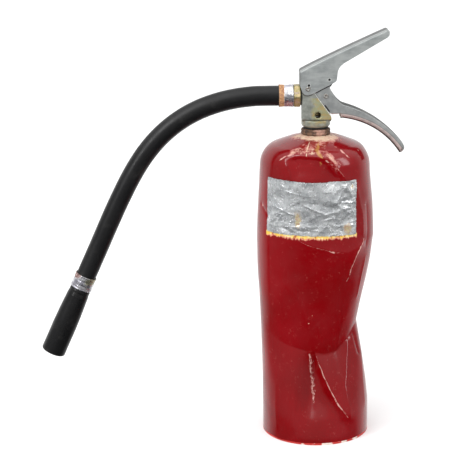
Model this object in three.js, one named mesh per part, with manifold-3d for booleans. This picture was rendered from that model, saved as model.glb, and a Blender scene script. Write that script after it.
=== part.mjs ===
// Portable dry-powder fire extinguisher with a crushed cylinder, a lever valve and a discharge hose.
// Millimetres, +Z up. The floor is z = 0. The origin is the bottom centre of the whole object's box.
import * as THREE from "three";
import { mergeVertices } from "three/addons/utils/BufferGeometryUtils.js";
import Module from "manifold-3d";

const wasm = await Module();
wasm.setup();

// ---------------------------------------------------------------- driving dimensions
const AXIS_X = -17.1;            // where the cylinder's axis stands in the part's frame
const GAP = 0.3;                 // clearance between pieces that touch
const ROUND = 24;                // facets round a large turned piece
const SMALL = 16;                // facets round a small turned piece

const CYLINDER = {
  radius: 65, wall: 1.6, hem: 2.5, hemHeight: 4,
  kneeZ: 341, kneeRadius: 22, crownSlope: 18.7, neckZ: 372.2, neckHole: 15.8, facets: 40,
};
const SWELL = { amount: 6.1, z: 238, spread: 95 };          // sides pushed out where the front is flat
const LEAN = { waist: 1.0, knee: 1.3 };                      // how far the right side leans in, going up
const FOLD = { depth: 25, top: 250, floor: 98, sideFloor: 135, bottom: 30 };  // the crushed waist
const BASE = { radius: 62.2, flangeZ: 2, flangeTop: 14, crownZ: 27, thickness: 1.6 };
const NECK = { ringRadius: 17.5, ringTop: 379.2, spigotRadius: 15.4, bottom: 361, bore: 12.6 };
const LABEL = { left: -60, right: 43.6, topLeft: 327.8, topRight: 326, height: 66, thickness: 0.5 };
const BACKING = { below: 6, thickness: 0.4, overhang: 2 };

const COLLAR = { bottom: 381.4, top: 390, lowRadius: 15.2, topRadius: 17.2, throatRadius: 12.2 };
const BLOCK = {
  left: -17, right: 18.3, halfDepth: 12, coreHalfDepth: 10.4, top: 441, spigotBottom: 362, groove: 0.7,
};
const CHAMBER = { radius: 7.5, seatZ: 402, passageRadius: 5, glandRadius: 7, glandZ: 430 };
const OUTLET = { z: 418.6, socketRadius: 8, socketDepth: 4.3 };
const GAUGE_PORT = { x: 2.1, z: 396.2, bore: 3.3, sinkRadius: 4.8, sinkDepth: 1.5 };

const PIVOT = { x: -9.9, z: 428.3, radius: 2.2, headRadius: 2.9, headHeight: 1.2 };
const RIVET = { x: 11.3, z: 419.4, radius: 2, headRadius: 3, headHeight: 1.4 };
const PULL_PIN = { x: 15.3, z: 439, radius: 1.3 };
const SHEET = 1.5;                                          // lever and handle sheet thickness
const LEVER = { halfWidth: 14, back: -19.6, backBottom: 432 };
const HANDLE = { halfWidth: 12.2 };

const STEM = { radius: 2.5, top: 456.3, bottom: 388, flangeRadius: 6, flangeZ: 395.4, flangeHeight: 3 };
const SPRING = { coilRadius: 5.6, wireRadius: 0.7, turns: 5, bottom: 371.1, top: 394.6 };
const DIP_TUBE = { radius: 6, bore: 4.8, top: 365.7, bottom: 34 };
const GLAND = { flangeRadius: 9, flangeHeight: 3.2, grooveZ: 434, grooveHeight: 3, grooveRadius: 4.7 };

const HOSE = { radius: 12, bore: 6.5, sides: 12, steps: 16 };
const FERRULE = { radius: 13.4, bore: 12.3, length: 17.9 };
const NIPPLE = { acrossFlats: 25.2, start: 1.6, length: 7.6, tailRadius: 6, bore: 4 };
const NOZZLE = { length: 90.5, rootRadius: 12.3, bellyRadius: 14.3, endRadius: 14.8, throat: 4, mouth: 9.5 };

// The hose's centreline from its nipple to the nozzle, as [x, z] from the cylinder's axis.
const HOSE_ROUTE = [
  [-26.3, 418.6], [-42, 418.6], [-58, 418.6], [-75, 418.2], [-97, 415.5], [-118, 410.6], [-138.5, 403.2],
  [-157.3, 393.4], [-174.8, 381], [-190.7, 366.2], [-204.7, 349.4], [-216.8, 331.1], [-227.6, 311.7],
  [-237.6, 291.9], [-247.1, 271.8], [-256.3, 251.5], [-265.4, 231.3], [-274.5, 211.5], [-279.9, 199.7],
  [-287.0, 184.1],
];

const PAINT_RED = 0x8a060c, STEEL = 0x9ba09f, ZINC = 0x8d9085, BRASS = 0xa89a62, RUBBER = 0x1b1b1c;
const RUSTY = 0x4a2f22, FOIL = 0xa9adac, YELLOW = 0xd9b04a, SPRING_STEEL = 0x777b80;

// ---------------------------------------------------------------- helpers
const rad = THREE.MathUtils.degToRad;
const smooth = THREE.MathUtils.smoothstep;
const UP = new THREE.Vector3(0, 0, 1);

/** Merge shared vertices and turn the faces outwards. */
function closed(geometry) {
  geometry.deleteAttribute("normal");
  geometry.deleteAttribute("uv");
  const merged = mergeVertices(geometry, 1e-4);
  const p = merged.attributes.position;
  const index = Array.from(merged.index.array);
  const triangles = [];
  let volume = 0;
  for (let i = 0; i < index.length; i += 3) {
    const [a, b, c] = index.slice(i, i + 3);
    if (a === b || b === c || c === a) continue;
    const va = new THREE.Vector3().fromBufferAttribute(p, a);
    const vb = new THREE.Vector3().fromBufferAttribute(p, b);
    const vc = new THREE.Vector3().fromBufferAttribute(p, c);
    volume += va.dot(vb.cross(vc));
    triangles.push([a, b, c]);
  }
  merged.setIndex(triangles.flatMap(([a, b, c]) => (volume < 0 ? [a, c, b] : [a, b, c])));
  return merged;
}

function toSolid(geometry) {
  const g = closed(geometry);
  const vertProperties = Float32Array.from(g.attributes.position.array);
  const triVerts = Uint32Array.from(g.index.array);
  return new wasm.Manifold(new wasm.Mesh({ numProp: 3, vertProperties, triVerts }));
}

function toGeometry(solid) {
  const mesh = solid.getMesh();
  const g = new THREE.BufferGeometry();
  g.setAttribute("position", new THREE.BufferAttribute(Float32Array.from(mesh.vertProperties), 3));
  g.setIndex(Array.from(mesh.triVerts));
  g.computeVertexNormals();
  return g;
}

/** Turn a profile of [radius, height] points about Z. */
function turned(profile, facets = ROUND) {
  const points = profile.map(([r, z]) => new THREE.Vector2(r, z));
  return closed(new THREE.LatheGeometry(points, facets).rotateX(Math.PI / 2));
}

/** A profile that closes on itself, for a piece with a hole along its axis. */
const ring = (profile, facets) => turned([...profile, profile[0]], facets);

/** Extrude an outline drawn in X and Z to both sides of the y = 0 plane. */
function plate(shape, halfDepth) {
  const settings = { depth: 2 * halfDepth, bevelEnabled: false, curveSegments: 8 };
  const g = new THREE.ExtrudeGeometry(shape, settings);
  return closed(g.rotateX(Math.PI / 2).translate(0, halfDepth, 0));
}

const polygon = (points) => new THREE.Shape(points.map(([x, z]) => new THREE.Vector2(x, z)));

/** A round bar along Y. */
function crossBar(x, z, radius, yFrom, yTo) {
  const g = new THREE.CylinderGeometry(radius, radius, yTo - yFrom, SMALL);
  return closed(g.translate(x, (yFrom + yTo) / 2, z));
}

const cut = (body, ...tools) => tools.reduce((s, t) => s.subtract(toSolid(t)), body);
const join = (...pieces) => pieces.map(toSolid).reduce((a, b) => a.add(b));

const part = new THREE.Group();
const extinguisher = new THREE.Group();
extinguisher.position.x = AXIS_X;
part.add(extinguisher);

function add(name, geometry, color, roughness, metalness) {
  const mesh = new THREE.Mesh(geometry, new THREE.MeshStandardMaterial({ color, roughness, metalness }));
  mesh.name = name;
  extinguisher.add(mesh);
  return mesh;
}

/** Stand a turned piece on a point, with its own +Z along a direction. */
function aim(mesh, [x, z], [dx, dz]) {
  mesh.position.set(x, 0, z);
  mesh.quaternion.setFromUnitVectors(UP, new THREE.Vector3(dx, 0, dz).normalize());
}

// ---------------------------------------------------------------- the crushed shape
/** How far the wall stands out (+) or in (-) at an angle from the front, in degrees towards +X. */
function dent(angle, z) {
  const fade = smooth(z, 20, 60) * (1 - smooth(z, 335, 356));
  const fromSwell = (z - SWELL.z) / SWELL.spread;
  const swell = -SWELL.amount * Math.exp(-(fromSwell ** 2)) * Math.cos(2 * rad(angle));
  const fromMiddle = angle - 20;
  const across = fromMiddle < 0
    ? 1 - smooth(-fromMiddle, 5, 100)
    : 1 - 0.32 * smooth(fromMiddle, 20, 70) - 0.68 * smooth(fromMiddle, 70, 135);
  const floor = FOLD.floor + (FOLD.sideFloor - FOLD.floor) * smooth(Math.abs(angle - 12), 12, 70);
  const above = THREE.MathUtils.clamp((FOLD.top - z) / (FOLD.top - floor), 0, 1);
  const below = THREE.MathUtils.clamp((z - FOLD.bottom) / (floor - FOLD.bottom), 0, 1);
  const down = z > floor ? above : below ** 1.5;
  const climb = LEAN.waist * smooth(z, 215, 245) + LEAN.knee * smooth(z, 285, 335);
  const lean = climb * (1 - smooth(z, 348, 371)) * Math.max(0, Math.sin(rad(angle))) ** 2;
  return swell * fade - lean - FOLD.depth * across * down;
}

/** Angle from the front, in degrees, of a point round the cylinder's axis. */
const frontAngle = (x, y) => THREE.MathUtils.radToDeg(Math.atan2(x, -y));

function cylinderProfile(inset) {
  const { radius, kneeZ, kneeRadius, crownSlope, neckZ, neckHole } = CYLINDER;
  const kneeX = radius - kneeRadius;
  const profile = [];
  for (const z of [24, 45, 62, 80, 98, 116, 135, 155, 180, 205, 230, 255, 280, 305, 324, kneeZ]) {
    profile.push([radius - inset, z]);
  }
  const kneeSteps = 4;
  for (let i = 1; i <= kneeSteps; i++) {
    const a = rad((90 - crownSlope) * i / kneeSteps);
    const r = kneeRadius - inset;
    profile.push([kneeX + r * Math.cos(a), kneeZ + r * Math.sin(a)]);
  }
  profile.push([neckHole + 4, neckZ - inset], [neckHole, neckZ - inset]);
  return profile;
}

function cylinderShell() {
  const { radius, wall, hem, hemHeight, facets } = CYLINDER;
  const outer = cylinderProfile(0);
  const inner = cylinderProfile(wall).reverse();
  const profile = [
    [radius, 0], ...outer, ...inner,
    [radius - wall, hemHeight + 1], [radius - hem, hemHeight], [radius - hem, 0],
  ];
  const g = ring(profile, facets);
  const p = g.attributes.position;
  for (let i = 0; i < p.count; i++) {
    const x = p.getX(i), y = p.getY(i), z = p.getZ(i);
    const scale = 1 + dent(frontAngle(x, y), z) / Math.hypot(x, y);
    p.setXY(i, x * scale, y * scale);
  }
  g.computeVertexNormals();
  return g;
}

/** A thin sheet lying on the wall between two angles; edges(angle) gives its bottom and top z. */
function wrappedSheet(from, to, edges, lift, thickness) {
  const across = 18, up = 6;
  const g = new THREE.BoxGeometry(1, 1, 1, across, 1, up);
  const p = g.attributes.position;
  for (let i = 0; i < p.count; i++) {
    const angle = from + (to - from) * (p.getX(i) + 0.5);
    const [bottom, top] = edges(angle);
    const z = bottom + (top - bottom) * (p.getZ(i) + 0.5);
    const r = CYLINDER.radius + dent(angle, z) + lift + thickness * (0.5 - p.getY(i));
    p.setXYZ(i, r * Math.sin(rad(angle)), -r * Math.cos(rad(angle)), z);
  }
  return closed(g);
}

// ---------------------------------------------------------------- cylinder
add("cylinder_shell", cylinderShell(), PAINT_RED, 0.3, 0);

const baseKnee = BASE.radius - 8;
add("base_end", ring([
  [BASE.radius, BASE.flangeZ], [BASE.radius, BASE.flangeTop], [baseKnee, BASE.flangeTop + 5],
  [baseKnee / 2, BASE.crownZ - 1.5], [2, BASE.crownZ], [2, BASE.crownZ - BASE.thickness],
  [baseKnee / 2, BASE.crownZ - 1.5 - BASE.thickness], [baseKnee, BASE.flangeTop + 5 - BASE.thickness],
  [BASE.radius - BASE.thickness, BASE.flangeTop - 1], [BASE.radius - BASE.thickness, BASE.flangeZ],
]), PAINT_RED, 0.4, 0);

add("neck_ring", ring([
  [NECK.bore, NECK.bottom], [NECK.spigotRadius, NECK.bottom], [NECK.spigotRadius, CYLINDER.neckZ + GAP],
  [NECK.ringRadius - 0.6, CYLINDER.neckZ + GAP], [NECK.ringRadius, CYLINDER.neckZ + 1.2],
  [NECK.ringRadius, NECK.ringTop - 1], [NECK.ringRadius - 1, NECK.ringTop], [NECK.bore, NECK.ringTop],
]), RUSTY, 0.8, 0.3);

// ---------------------------------------------------------------- label
const labelTop = (angle) => {
  const t = (angle - LABEL.left) / (LABEL.right - LABEL.left);
  return LABEL.topLeft + (LABEL.topRight - LABEL.topLeft) * t;
};
const labelBottom = (angle) => labelTop(angle) - LABEL.height;
const labelLift = GAP + 0.1;
add("label_plate", wrappedSheet(LABEL.left, LABEL.right,
  (a) => [labelBottom(a), labelTop(a)], labelLift, LABEL.thickness), FOIL, 0.35, 0.9);
add("label_backing", wrappedSheet(LABEL.left - BACKING.overhang, LABEL.right + BACKING.overhang,
  (a) => [labelBottom(a) - BACKING.below, labelBottom(a) - GAP],
  labelLift, BACKING.thickness), YELLOW, 0.7, 0);

// ---------------------------------------------------------------- valve
function valveBody() {
  const { left, right, halfDepth, coreHalfDepth, top, spigotBottom, groove } = BLOCK;
  const { bottom, top: collarTop, lowRadius, topRadius, throatRadius } = COLLAR;
  const threadedSpigot = turned([
    [0, spigotBottom], [throatRadius, spigotBottom], [throatRadius, bottom + 1], [0, bottom + 1],
  ]);
  const collar = turned([
    [0, bottom], [lowRadius, bottom], [topRadius, bottom + 2.1], [topRadius, collarTop - 0.8],
    [topRadius - 0.8, collarTop], [0, collarTop],
  ]);
  // The full-depth cheek of the casting starts a groove above the collar, and ends at a slanted shoulder
  // that the handle sits against.
  const cheek = plate(polygon([
    [left, collarTop + groove], [right - 0.3, collarTop + groove], [right, collarTop + 1.5],
    [right - 0.7, 395.8], [-2.4, 423.6], [left, 423.6],
  ]), halfDepth);
  const core = plate(polygon([
    [left, collarTop - 0.5], [left, 431.5], [-13, top], [11, top], [15.5, 430], [15.5, 398.8],
    [right - 0.7, 395.8], [right, collarTop + 1.5], [right - 0.8, collarTop - 0.5],
  ]), coreHalfDepth);
  const passages = turned([
    [0, spigotBottom - 1], [CHAMBER.radius, spigotBottom - 1], [CHAMBER.radius, CHAMBER.seatZ],
    [CHAMBER.passageRadius, CHAMBER.seatZ], [CHAMBER.passageRadius, CHAMBER.glandZ],
    [CHAMBER.glandRadius, CHAMBER.glandZ], [CHAMBER.glandRadius, top + 1], [0, top + 1],
  ]);
  const outlet = turned([
    [0, -1], [OUTLET.socketRadius, -1], [OUTLET.socketRadius, OUTLET.socketDepth],
    [CHAMBER.passageRadius - 0.2, OUTLET.socketDepth], [CHAMBER.passageRadius - 0.2, -left], [0, -left],
  ]).rotateY(Math.PI / 2).translate(left, 0, OUTLET.z);
  const gaugePort = turned([
    [0, -1], [GAUGE_PORT.sinkRadius, -1], [GAUGE_PORT.sinkRadius, GAUGE_PORT.sinkDepth],
    [GAUGE_PORT.bore, GAUGE_PORT.sinkDepth], [GAUGE_PORT.bore, halfDepth - 4], [0, halfDepth - 4],
  ], SMALL).rotateX(-Math.PI / 2).translate(GAUGE_PORT.x, -halfDepth, GAUGE_PORT.z);
  const pivotHole = crossBar(PIVOT.x, PIVOT.z, PIVOT.radius + GAP, -20, 20);
  const rivetHole = crossBar(RIVET.x, RIVET.z, RIVET.radius + GAP, -20, 20);
  return toGeometry(cut(join(threadedSpigot, collar, cheek, core),
    passages, outlet, gaugePort, pivotHole, rivetHole));
}
add("valve_body", valveBody(), ZINC, 0.45, 0.8);

add("neck_o_ring", ring([
  [COLLAR.throatRadius + GAP, NECK.ringTop + GAP], [13.8, NECK.ringTop + GAP], [14.5, 380.3],
  [13.8, COLLAR.bottom - GAP], [COLLAR.throatRadius + GAP, COLLAR.bottom - GAP],
]), RUBBER, 0.7, 0);

add("tube_adapter", ring([
  [DIP_TUBE.radius + GAP, 358.5], [10, 358.5], [10, BLOCK.spigotBottom - GAP],
  [CHAMBER.radius - GAP, BLOCK.spigotBottom - GAP], [CHAMBER.radius - GAP, 370], [4, 370],
  [4, DIP_TUBE.top + GAP], [DIP_TUBE.radius + GAP, DIP_TUBE.top + GAP],
], SMALL), BRASS, 0.4, 0.9);

add("siphon_tube", ring([
  [DIP_TUBE.bore, DIP_TUBE.bottom], [DIP_TUBE.radius, DIP_TUBE.bottom],
  [DIP_TUBE.radius, DIP_TUBE.top], [DIP_TUBE.bore, DIP_TUBE.top],
], SMALL), STEEL, 0.6, 0.2);

add("valve_stem", turned([
  [0, STEM.bottom], [STEM.radius - 0.5, STEM.bottom],
  [STEM.radius, STEM.bottom + 1], [STEM.radius, STEM.flangeZ],
  [STEM.flangeRadius, STEM.flangeZ], [STEM.flangeRadius, STEM.flangeZ + STEM.flangeHeight],
  [STEM.radius, STEM.flangeZ + STEM.flangeHeight], [STEM.radius, STEM.top - 1.2],
  [STEM.radius - 1, STEM.top - 0.3], [0, STEM.top],
], SMALL), BRASS, 0.35, 0.9);

const sealZ = STEM.flangeZ + STEM.flangeHeight + GAP;
add("stem_seal", ring([
  [STEM.radius + GAP, sealZ], [STEM.flangeRadius + 0.2, sealZ],
  [STEM.flangeRadius + 0.2, CHAMBER.seatZ - GAP], [STEM.radius + GAP, CHAMBER.seatZ - GAP],
], SMALL), RUBBER, 0.7, 0);

const glandTop = BLOCK.top + GAP + GLAND.flangeHeight;
const glandRadius = CHAMBER.glandRadius - GAP;
const glandBore = STEM.radius + GAP;
const grooveTop = GLAND.grooveZ + GLAND.grooveHeight;
add("stem_gland", ring([
  [glandBore, CHAMBER.glandZ + GAP], [glandRadius, CHAMBER.glandZ + GAP], [glandRadius, BLOCK.top + GAP],
  [GLAND.flangeRadius, BLOCK.top + GAP], [GLAND.flangeRadius, glandTop], [glandBore, glandTop],
  [glandBore, grooveTop], [GLAND.grooveRadius, grooveTop],
  [GLAND.grooveRadius, GLAND.grooveZ], [glandBore, GLAND.grooveZ],
], SMALL), BRASS, 0.35, 0.9);

const oRingZ = GLAND.grooveZ + GAP;
add("stem_o_ring", ring([
  [STEM.radius + GAP, oRingZ + 0.6], [3.4, oRingZ], [GLAND.grooveRadius - GAP, oRingZ + 0.6],
  [GLAND.grooveRadius - GAP, oRingZ + 1.8], [3.4, oRingZ + 2.4], [STEM.radius + GAP, oRingZ + 1.8],
], SMALL), RUBBER, 0.7, 0);

class Helix extends THREE.Curve {
  getPoint(t, target = new THREE.Vector3()) {
    const a = 2 * Math.PI * SPRING.turns * t;
    const z = SPRING.bottom + (SPRING.top - SPRING.bottom) * t;
    return target.set(SPRING.coilRadius * Math.cos(a), SPRING.coilRadius * Math.sin(a), z);
  }
}
const wire = new THREE.Shape().absarc(0, 0, SPRING.wireRadius, 0, 2 * Math.PI);
add("valve_spring", closed(new THREE.ExtrudeGeometry(wire, {
  extrudePath: new Helix(), steps: 14 * SPRING.turns, curveSegments: 3, bevelEnabled: false,
})), SPRING_STEEL, 0.3, 1);

// ---------------------------------------------------------------- lever and handle
/** A channel bent from sheet: an outline extruded to its width, hollowed between its two cheeks. */
function channel(outline, hollow, halfWidth, holes) {
  const body = cut(toSolid(plate(outline, halfWidth)), plate(hollow, halfWidth - SHEET));
  const drills = holes.map(({ x, z, radius }) => crossBar(x, z, radius, -halfWidth - 5, halfWidth + 5));
  return toGeometry(cut(body, ...drills));
}

function squeezeLever() {
  const outline = new THREE.Shape();
  outline.moveTo(LEVER.back, LEVER.backBottom);
  outline.lineTo(LEVER.back, 446.8);
  outline.quadraticCurveTo(LEVER.back, 448.9, -17.7, 449.9);
  outline.quadraticCurveTo(6.9, 463.2, 81.2, 496);
  outline.quadraticCurveTo(85.6, 497.6, 85.9, 492.6);
  outline.quadraticCurveTo(85.6, 489.4, 82, 487.2);
  outline.lineTo(33, 458.6);
  outline.quadraticCurveTo(25.4, 453.6, 25, 446.5);
  outline.lineTo(24.2, 439.5);
  outline.quadraticCurveTo(24, 437.5, 21.8, 436);
  outline.lineTo(17.8, 433.4);
  outline.lineTo(-1.8, 423.5);
  outline.quadraticCurveTo(-7.5, 420.2, -11.5, 420.6);
  outline.quadraticCurveTo(-16, 421.5, -17.6, 427);
  const hollow = polygon([
    [LEVER.back - 5, LEVER.backBottom], [LEVER.back - 5, 400], [100, 400], [84.4, 480], [84.4, 492.2],
  ]);
  hollow.quadraticCurveTo(84.2, 495.6, 81.7, 494.6);
  hollow.quadraticCurveTo(7.5, 461.8, -17, 448.5);
  hollow.quadraticCurveTo(LEVER.back + SHEET, 447.9, LEVER.back + SHEET, 446.4);
  hollow.lineTo(LEVER.back + SHEET, LEVER.backBottom);
  return channel(outline, hollow, LEVER.halfWidth, [
    { ...PIVOT, radius: PIVOT.radius + GAP }, PULL_PIN,
  ]);
}
add("squeeze_lever", squeezeLever(), STEEL, 0.4, 0.9);

function carryingHandle() {
  const lower = { x: 20.2, z: 299.1, radius: 94, from: rad(84.9), to: rad(32.8) };
  const upper = { x: -5, z: 276.2, radius: 137.2, from: rad(36.9), to: rad(74) };
  const outline = new THREE.Shape();
  outline.moveTo(-2, 424);
  outline.lineTo(14.6, 400.9);
  outline.quadraticCurveTo(17, 397.4, 19.4, 397.4);
  outline.lineTo(28.6, 398.2);
  outline.absarc(lower.x, lower.z, lower.radius, lower.from, lower.to, true);
  outline.quadraticCurveTo(103.6, 350.6, 105.2, 355.6);
  outline.absarc(upper.x, upper.z, upper.radius, upper.from, upper.to, false);
  outline.quadraticCurveTo(23.5, 412, 15.6, 429);
  outline.lineTo(18.6, 433);
  outline.lineTo(18.2, 443.4);
  outline.lineTo(10, 444.5);
  outline.lineTo(-2, 434);
  const hollow = polygon([[-10, 470], [-10, 380], [28.8, 380]]);
  hollow.absarc(lower.x, lower.z, lower.radius + SHEET, lower.from, lower.to + 0.02, true);
  hollow.lineTo(103.5, 357.4);
  hollow.lineTo(120, 380);
  hollow.lineTo(120, 470);
  return channel(outline, hollow, HANDLE.halfWidth, [
    { ...RIVET, radius: RIVET.radius + GAP }, PULL_PIN,
  ]);
}
add("carrying_handle", carryingHandle(), STEEL, 0.4, 0.9);

/** A pin with a head at each end, standing off the faces it holds. */
function headedPin({ x, z, radius, headRadius, headHeight }, faceY) {
  const inner = faceY + GAP, outer = inner + headHeight;
  return toGeometry(join(
    crossBar(x, z, radius, -inner - 0.2, inner + 0.2),
    crossBar(x, z, headRadius, inner, outer), crossBar(x, z, headRadius, -outer, -inner),
  ));
}
add("lever_pivot_pin", headedPin(PIVOT, LEVER.halfWidth), STEEL, 0.35, 0.9);
add("handle_rivet", headedPin(RIVET, HANDLE.halfWidth), STEEL, 0.4, 0.9);

// ---------------------------------------------------------------- hose, with its fittings
const outletFace = [BLOCK.left, OUTLET.z];
const outwards = [-1, 0];
const nippleEnd = NIPPLE.start + NIPPLE.length;
const threadRadius = OUTLET.socketRadius - GAP;
const threadStart = GAP - OUTLET.socketDepth;
const tailEnd = nippleEnd + FERRULE.length;

/** A hexagon nut with its flats at the top and bottom, chamfered by a cone at each end. */
function hexNipple() {
  const corner = NIPPLE.acrossFlats / 2 / Math.cos(Math.PI / 6);
  const hexagon = new THREE.CylinderGeometry(corner, corner, NIPPLE.length, 6).rotateX(Math.PI / 2)
    .translate(0, 0, NIPPLE.start + NIPPLE.length / 2);
  const chamfer = turned([
    [0, NIPPLE.start], [corner - 1.6, NIPPLE.start], [corner, NIPPLE.start + 0.9],
    [corner, nippleEnd - 0.9], [corner - 1.6, nippleEnd], [0, nippleEnd],
  ]);
  const hub = turned([
    [0, threadStart], [threadRadius, threadStart], [threadRadius, NIPPLE.start + 1],
    [NIPPLE.tailRadius, NIPPLE.start + 1], [NIPPLE.tailRadius, tailEnd - 1.5],
    [NIPPLE.tailRadius - 0.8, tailEnd], [0, tailEnd],
  ]);
  const bore = turned([
    [0, threadStart - 1], [NIPPLE.bore, threadStart - 1], [NIPPLE.bore, tailEnd + 1], [0, tailEnd + 1],
  ], SMALL);
  return toGeometry(cut(toSolid(hexagon).intersect(toSolid(chamfer)).add(toSolid(hub)), bore));
}
const washerHole = threadRadius + 2 * GAP;
const washer = add("nipple_washer", ring([
  [washerHole, GAP], [11.5, GAP], [11.5, NIPPLE.start - GAP], [washerHole, NIPPLE.start - GAP],
]), RUBBER, 0.7, 0);
const nipple = add("hose_nipple", hexNipple(), BRASS, 0.45, 0.85);
const sleeve = (start, end) => ring([
  [FERRULE.bore, start], [FERRULE.radius - 0.4, start], [FERRULE.radius, start + 0.8],
  [FERRULE.radius, end - 0.8], [FERRULE.radius - 0.4, end], [FERRULE.bore, end],
]);
const hoseFerrule = add("hose_ferrule", sleeve(nippleEnd + GAP, tailEnd), STEEL, 0.35, 0.9);
for (const mesh of [washer, nipple, hoseFerrule]) aim(mesh, outletFace, outwards);

const route = HOSE_ROUTE.map(([x, z]) => new THREE.Vector3(x, 0, z));
const hoseSection = new THREE.Shape().absarc(0, 0, HOSE.radius, 0, 2 * Math.PI);
hoseSection.holes.push(new THREE.Path().absarc(0, 0, HOSE.bore, 0, 2 * Math.PI));
add("hose", closed(new THREE.ExtrudeGeometry(hoseSection, {
  extrudePath: new THREE.CatmullRomCurve3(route), steps: HOSE.steps, curveSegments: HOSE.sides / 2,
  bevelEnabled: false,
})), RUBBER, 0.5, 0);

// The nozzle's own frame starts at the hose's cut end and points along its last stretch.
const [lastX, lastZ] = HOSE_ROUTE.at(-1);
const [beforeX, beforeZ] = HOSE_ROUTE.at(-3);
const hoseEnd = [lastX, lastZ];
const outOfHose = [lastX - beforeX, lastZ - beforeZ];
const socket = 14;
const nozzleFerrule = add("nozzle_ferrule", sleeve(-FERRULE.length + GAP, 0), STEEL, 0.35, 0.9);
const insert = add("nozzle_insert", ring([
  [NIPPLE.bore, -15], [NIPPLE.tailRadius - 0.8, -15], [NIPPLE.tailRadius, -13.5],
  [NIPPLE.tailRadius, socket - 1], [NIPPLE.tailRadius - 0.8, socket], [NIPPLE.bore, socket],
]), BRASS, 0.45, 0.85);
const nozzle = add("nozzle", ring([
  [NIPPLE.tailRadius + GAP, GAP], [NOZZLE.rootRadius, GAP], [NOZZLE.rootRadius + 0.9, 10],
  [NOZZLE.bellyRadius, 33], [NOZZLE.endRadius, 52], [NOZZLE.endRadius, NOZZLE.length],
  [NOZZLE.mouth, NOZZLE.length],
  [NOZZLE.throat, 34], [NOZZLE.throat, socket + GAP], [NIPPLE.tailRadius + GAP, socket + GAP],
]), RUBBER, 0.55, 0);
for (const mesh of [nozzleFerrule, insert, nozzle]) aim(mesh, hoseEnd, outOfHose);

export default part;
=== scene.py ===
"""Looks of a crushed red dry-powder fire extinguisher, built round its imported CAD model.

Blender objects are in metres. Shapes are written in millimetres from the cylinder's axis, with z up from
the floor, and placed() turns them into the frame's metres. The front, with the label, faces -Y.
"""
import math

import bpy
import numpy as np
from mathutils import Matrix, Vector
from mathutils.geometry import delaunay_2d_cdt


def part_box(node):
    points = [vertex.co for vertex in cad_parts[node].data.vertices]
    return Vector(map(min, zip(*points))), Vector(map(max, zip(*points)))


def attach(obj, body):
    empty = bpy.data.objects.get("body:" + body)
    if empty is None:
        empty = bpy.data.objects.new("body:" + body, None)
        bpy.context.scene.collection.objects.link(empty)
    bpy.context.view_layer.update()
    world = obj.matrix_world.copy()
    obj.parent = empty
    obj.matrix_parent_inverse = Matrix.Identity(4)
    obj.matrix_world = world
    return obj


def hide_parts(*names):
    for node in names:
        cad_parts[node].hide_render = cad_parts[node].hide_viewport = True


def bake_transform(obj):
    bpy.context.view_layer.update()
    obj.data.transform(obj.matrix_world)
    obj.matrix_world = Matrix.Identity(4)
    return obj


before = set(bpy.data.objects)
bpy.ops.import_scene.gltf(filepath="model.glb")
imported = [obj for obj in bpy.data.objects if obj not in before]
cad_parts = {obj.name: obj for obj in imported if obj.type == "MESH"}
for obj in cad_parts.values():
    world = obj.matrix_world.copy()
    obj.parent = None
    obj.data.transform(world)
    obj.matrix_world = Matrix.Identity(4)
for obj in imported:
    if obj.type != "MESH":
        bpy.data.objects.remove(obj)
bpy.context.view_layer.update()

MM = 0.001
neck_low, neck_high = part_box("neck_ring")
AXIS_X = (neck_low[0] + neck_high[0]) / 2      # the cylinder's axis in the frame, metres


# ---------------------------------------------------------------- materials
class Nodes:
    """A node tree and short calls for the nodes in it."""

    def __init__(self, tree):
        self.tree = tree

    def node(self, kind, **settings):
        made = self.tree.nodes.new(kind)
        for key, value in settings.items():
            setattr(made, key, value)
        return made

    def feed(self, socket, value):
        if isinstance(value, bpy.types.NodeSocket):
            self.tree.links.new(value, socket)
        elif isinstance(value, tuple) and socket.type == "RGBA":
            socket.default_value = (*value, 1)
        else:
            socket.default_value = value

    def fed(self, made, *inputs):
        """The node, with (socket, value) pairs fed to it."""
        for socket, value in inputs:
            self.feed(made.inputs[socket], value)
        return made

    def math(self, operation, a, b=0.0, clamp=False):
        made = self.node("ShaderNodeMath", operation=operation, use_clamp=clamp)
        return self.fed(made, (0, a), (1, b)).outputs[0]

    def times(self, a, b):
        return self.math("MULTIPLY", a, b)

    def plus(self, a, b):
        return self.math("ADD", a, b)

    def most(self, a, b):
        return self.math("MAXIMUM", a, b)

    def vector(self, operation, a, b, output=0):
        made = self.node("ShaderNodeVectorMath", operation=operation)
        return self.fed(made, (0, a), (1, b)).outputs[output]

    def ramp(self, value, low, high, to_low=0.0, to_high=1.0, smooth=True):
        made = self.node("ShaderNodeMapRange", interpolation_type="SMOOTHSTEP" if smooth else "LINEAR")
        limits = (("From Min", low), ("From Max", high), ("To Min", to_low), ("To Max", to_high))
        return self.fed(made, ("Value", value), *limits).outputs["Result"]

    def mix(self, factor, a, b):
        made = self.node("ShaderNodeMix", data_type="RGBA")
        return self.fed(made, (0, factor), (6, a), (7, b)).outputs[2]

    def blend(self, factor, a, b):
        made = self.node("ShaderNodeMix", data_type="FLOAT")
        return self.fed(made, (0, factor), (2, a), (3, b)).outputs[0]


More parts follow.
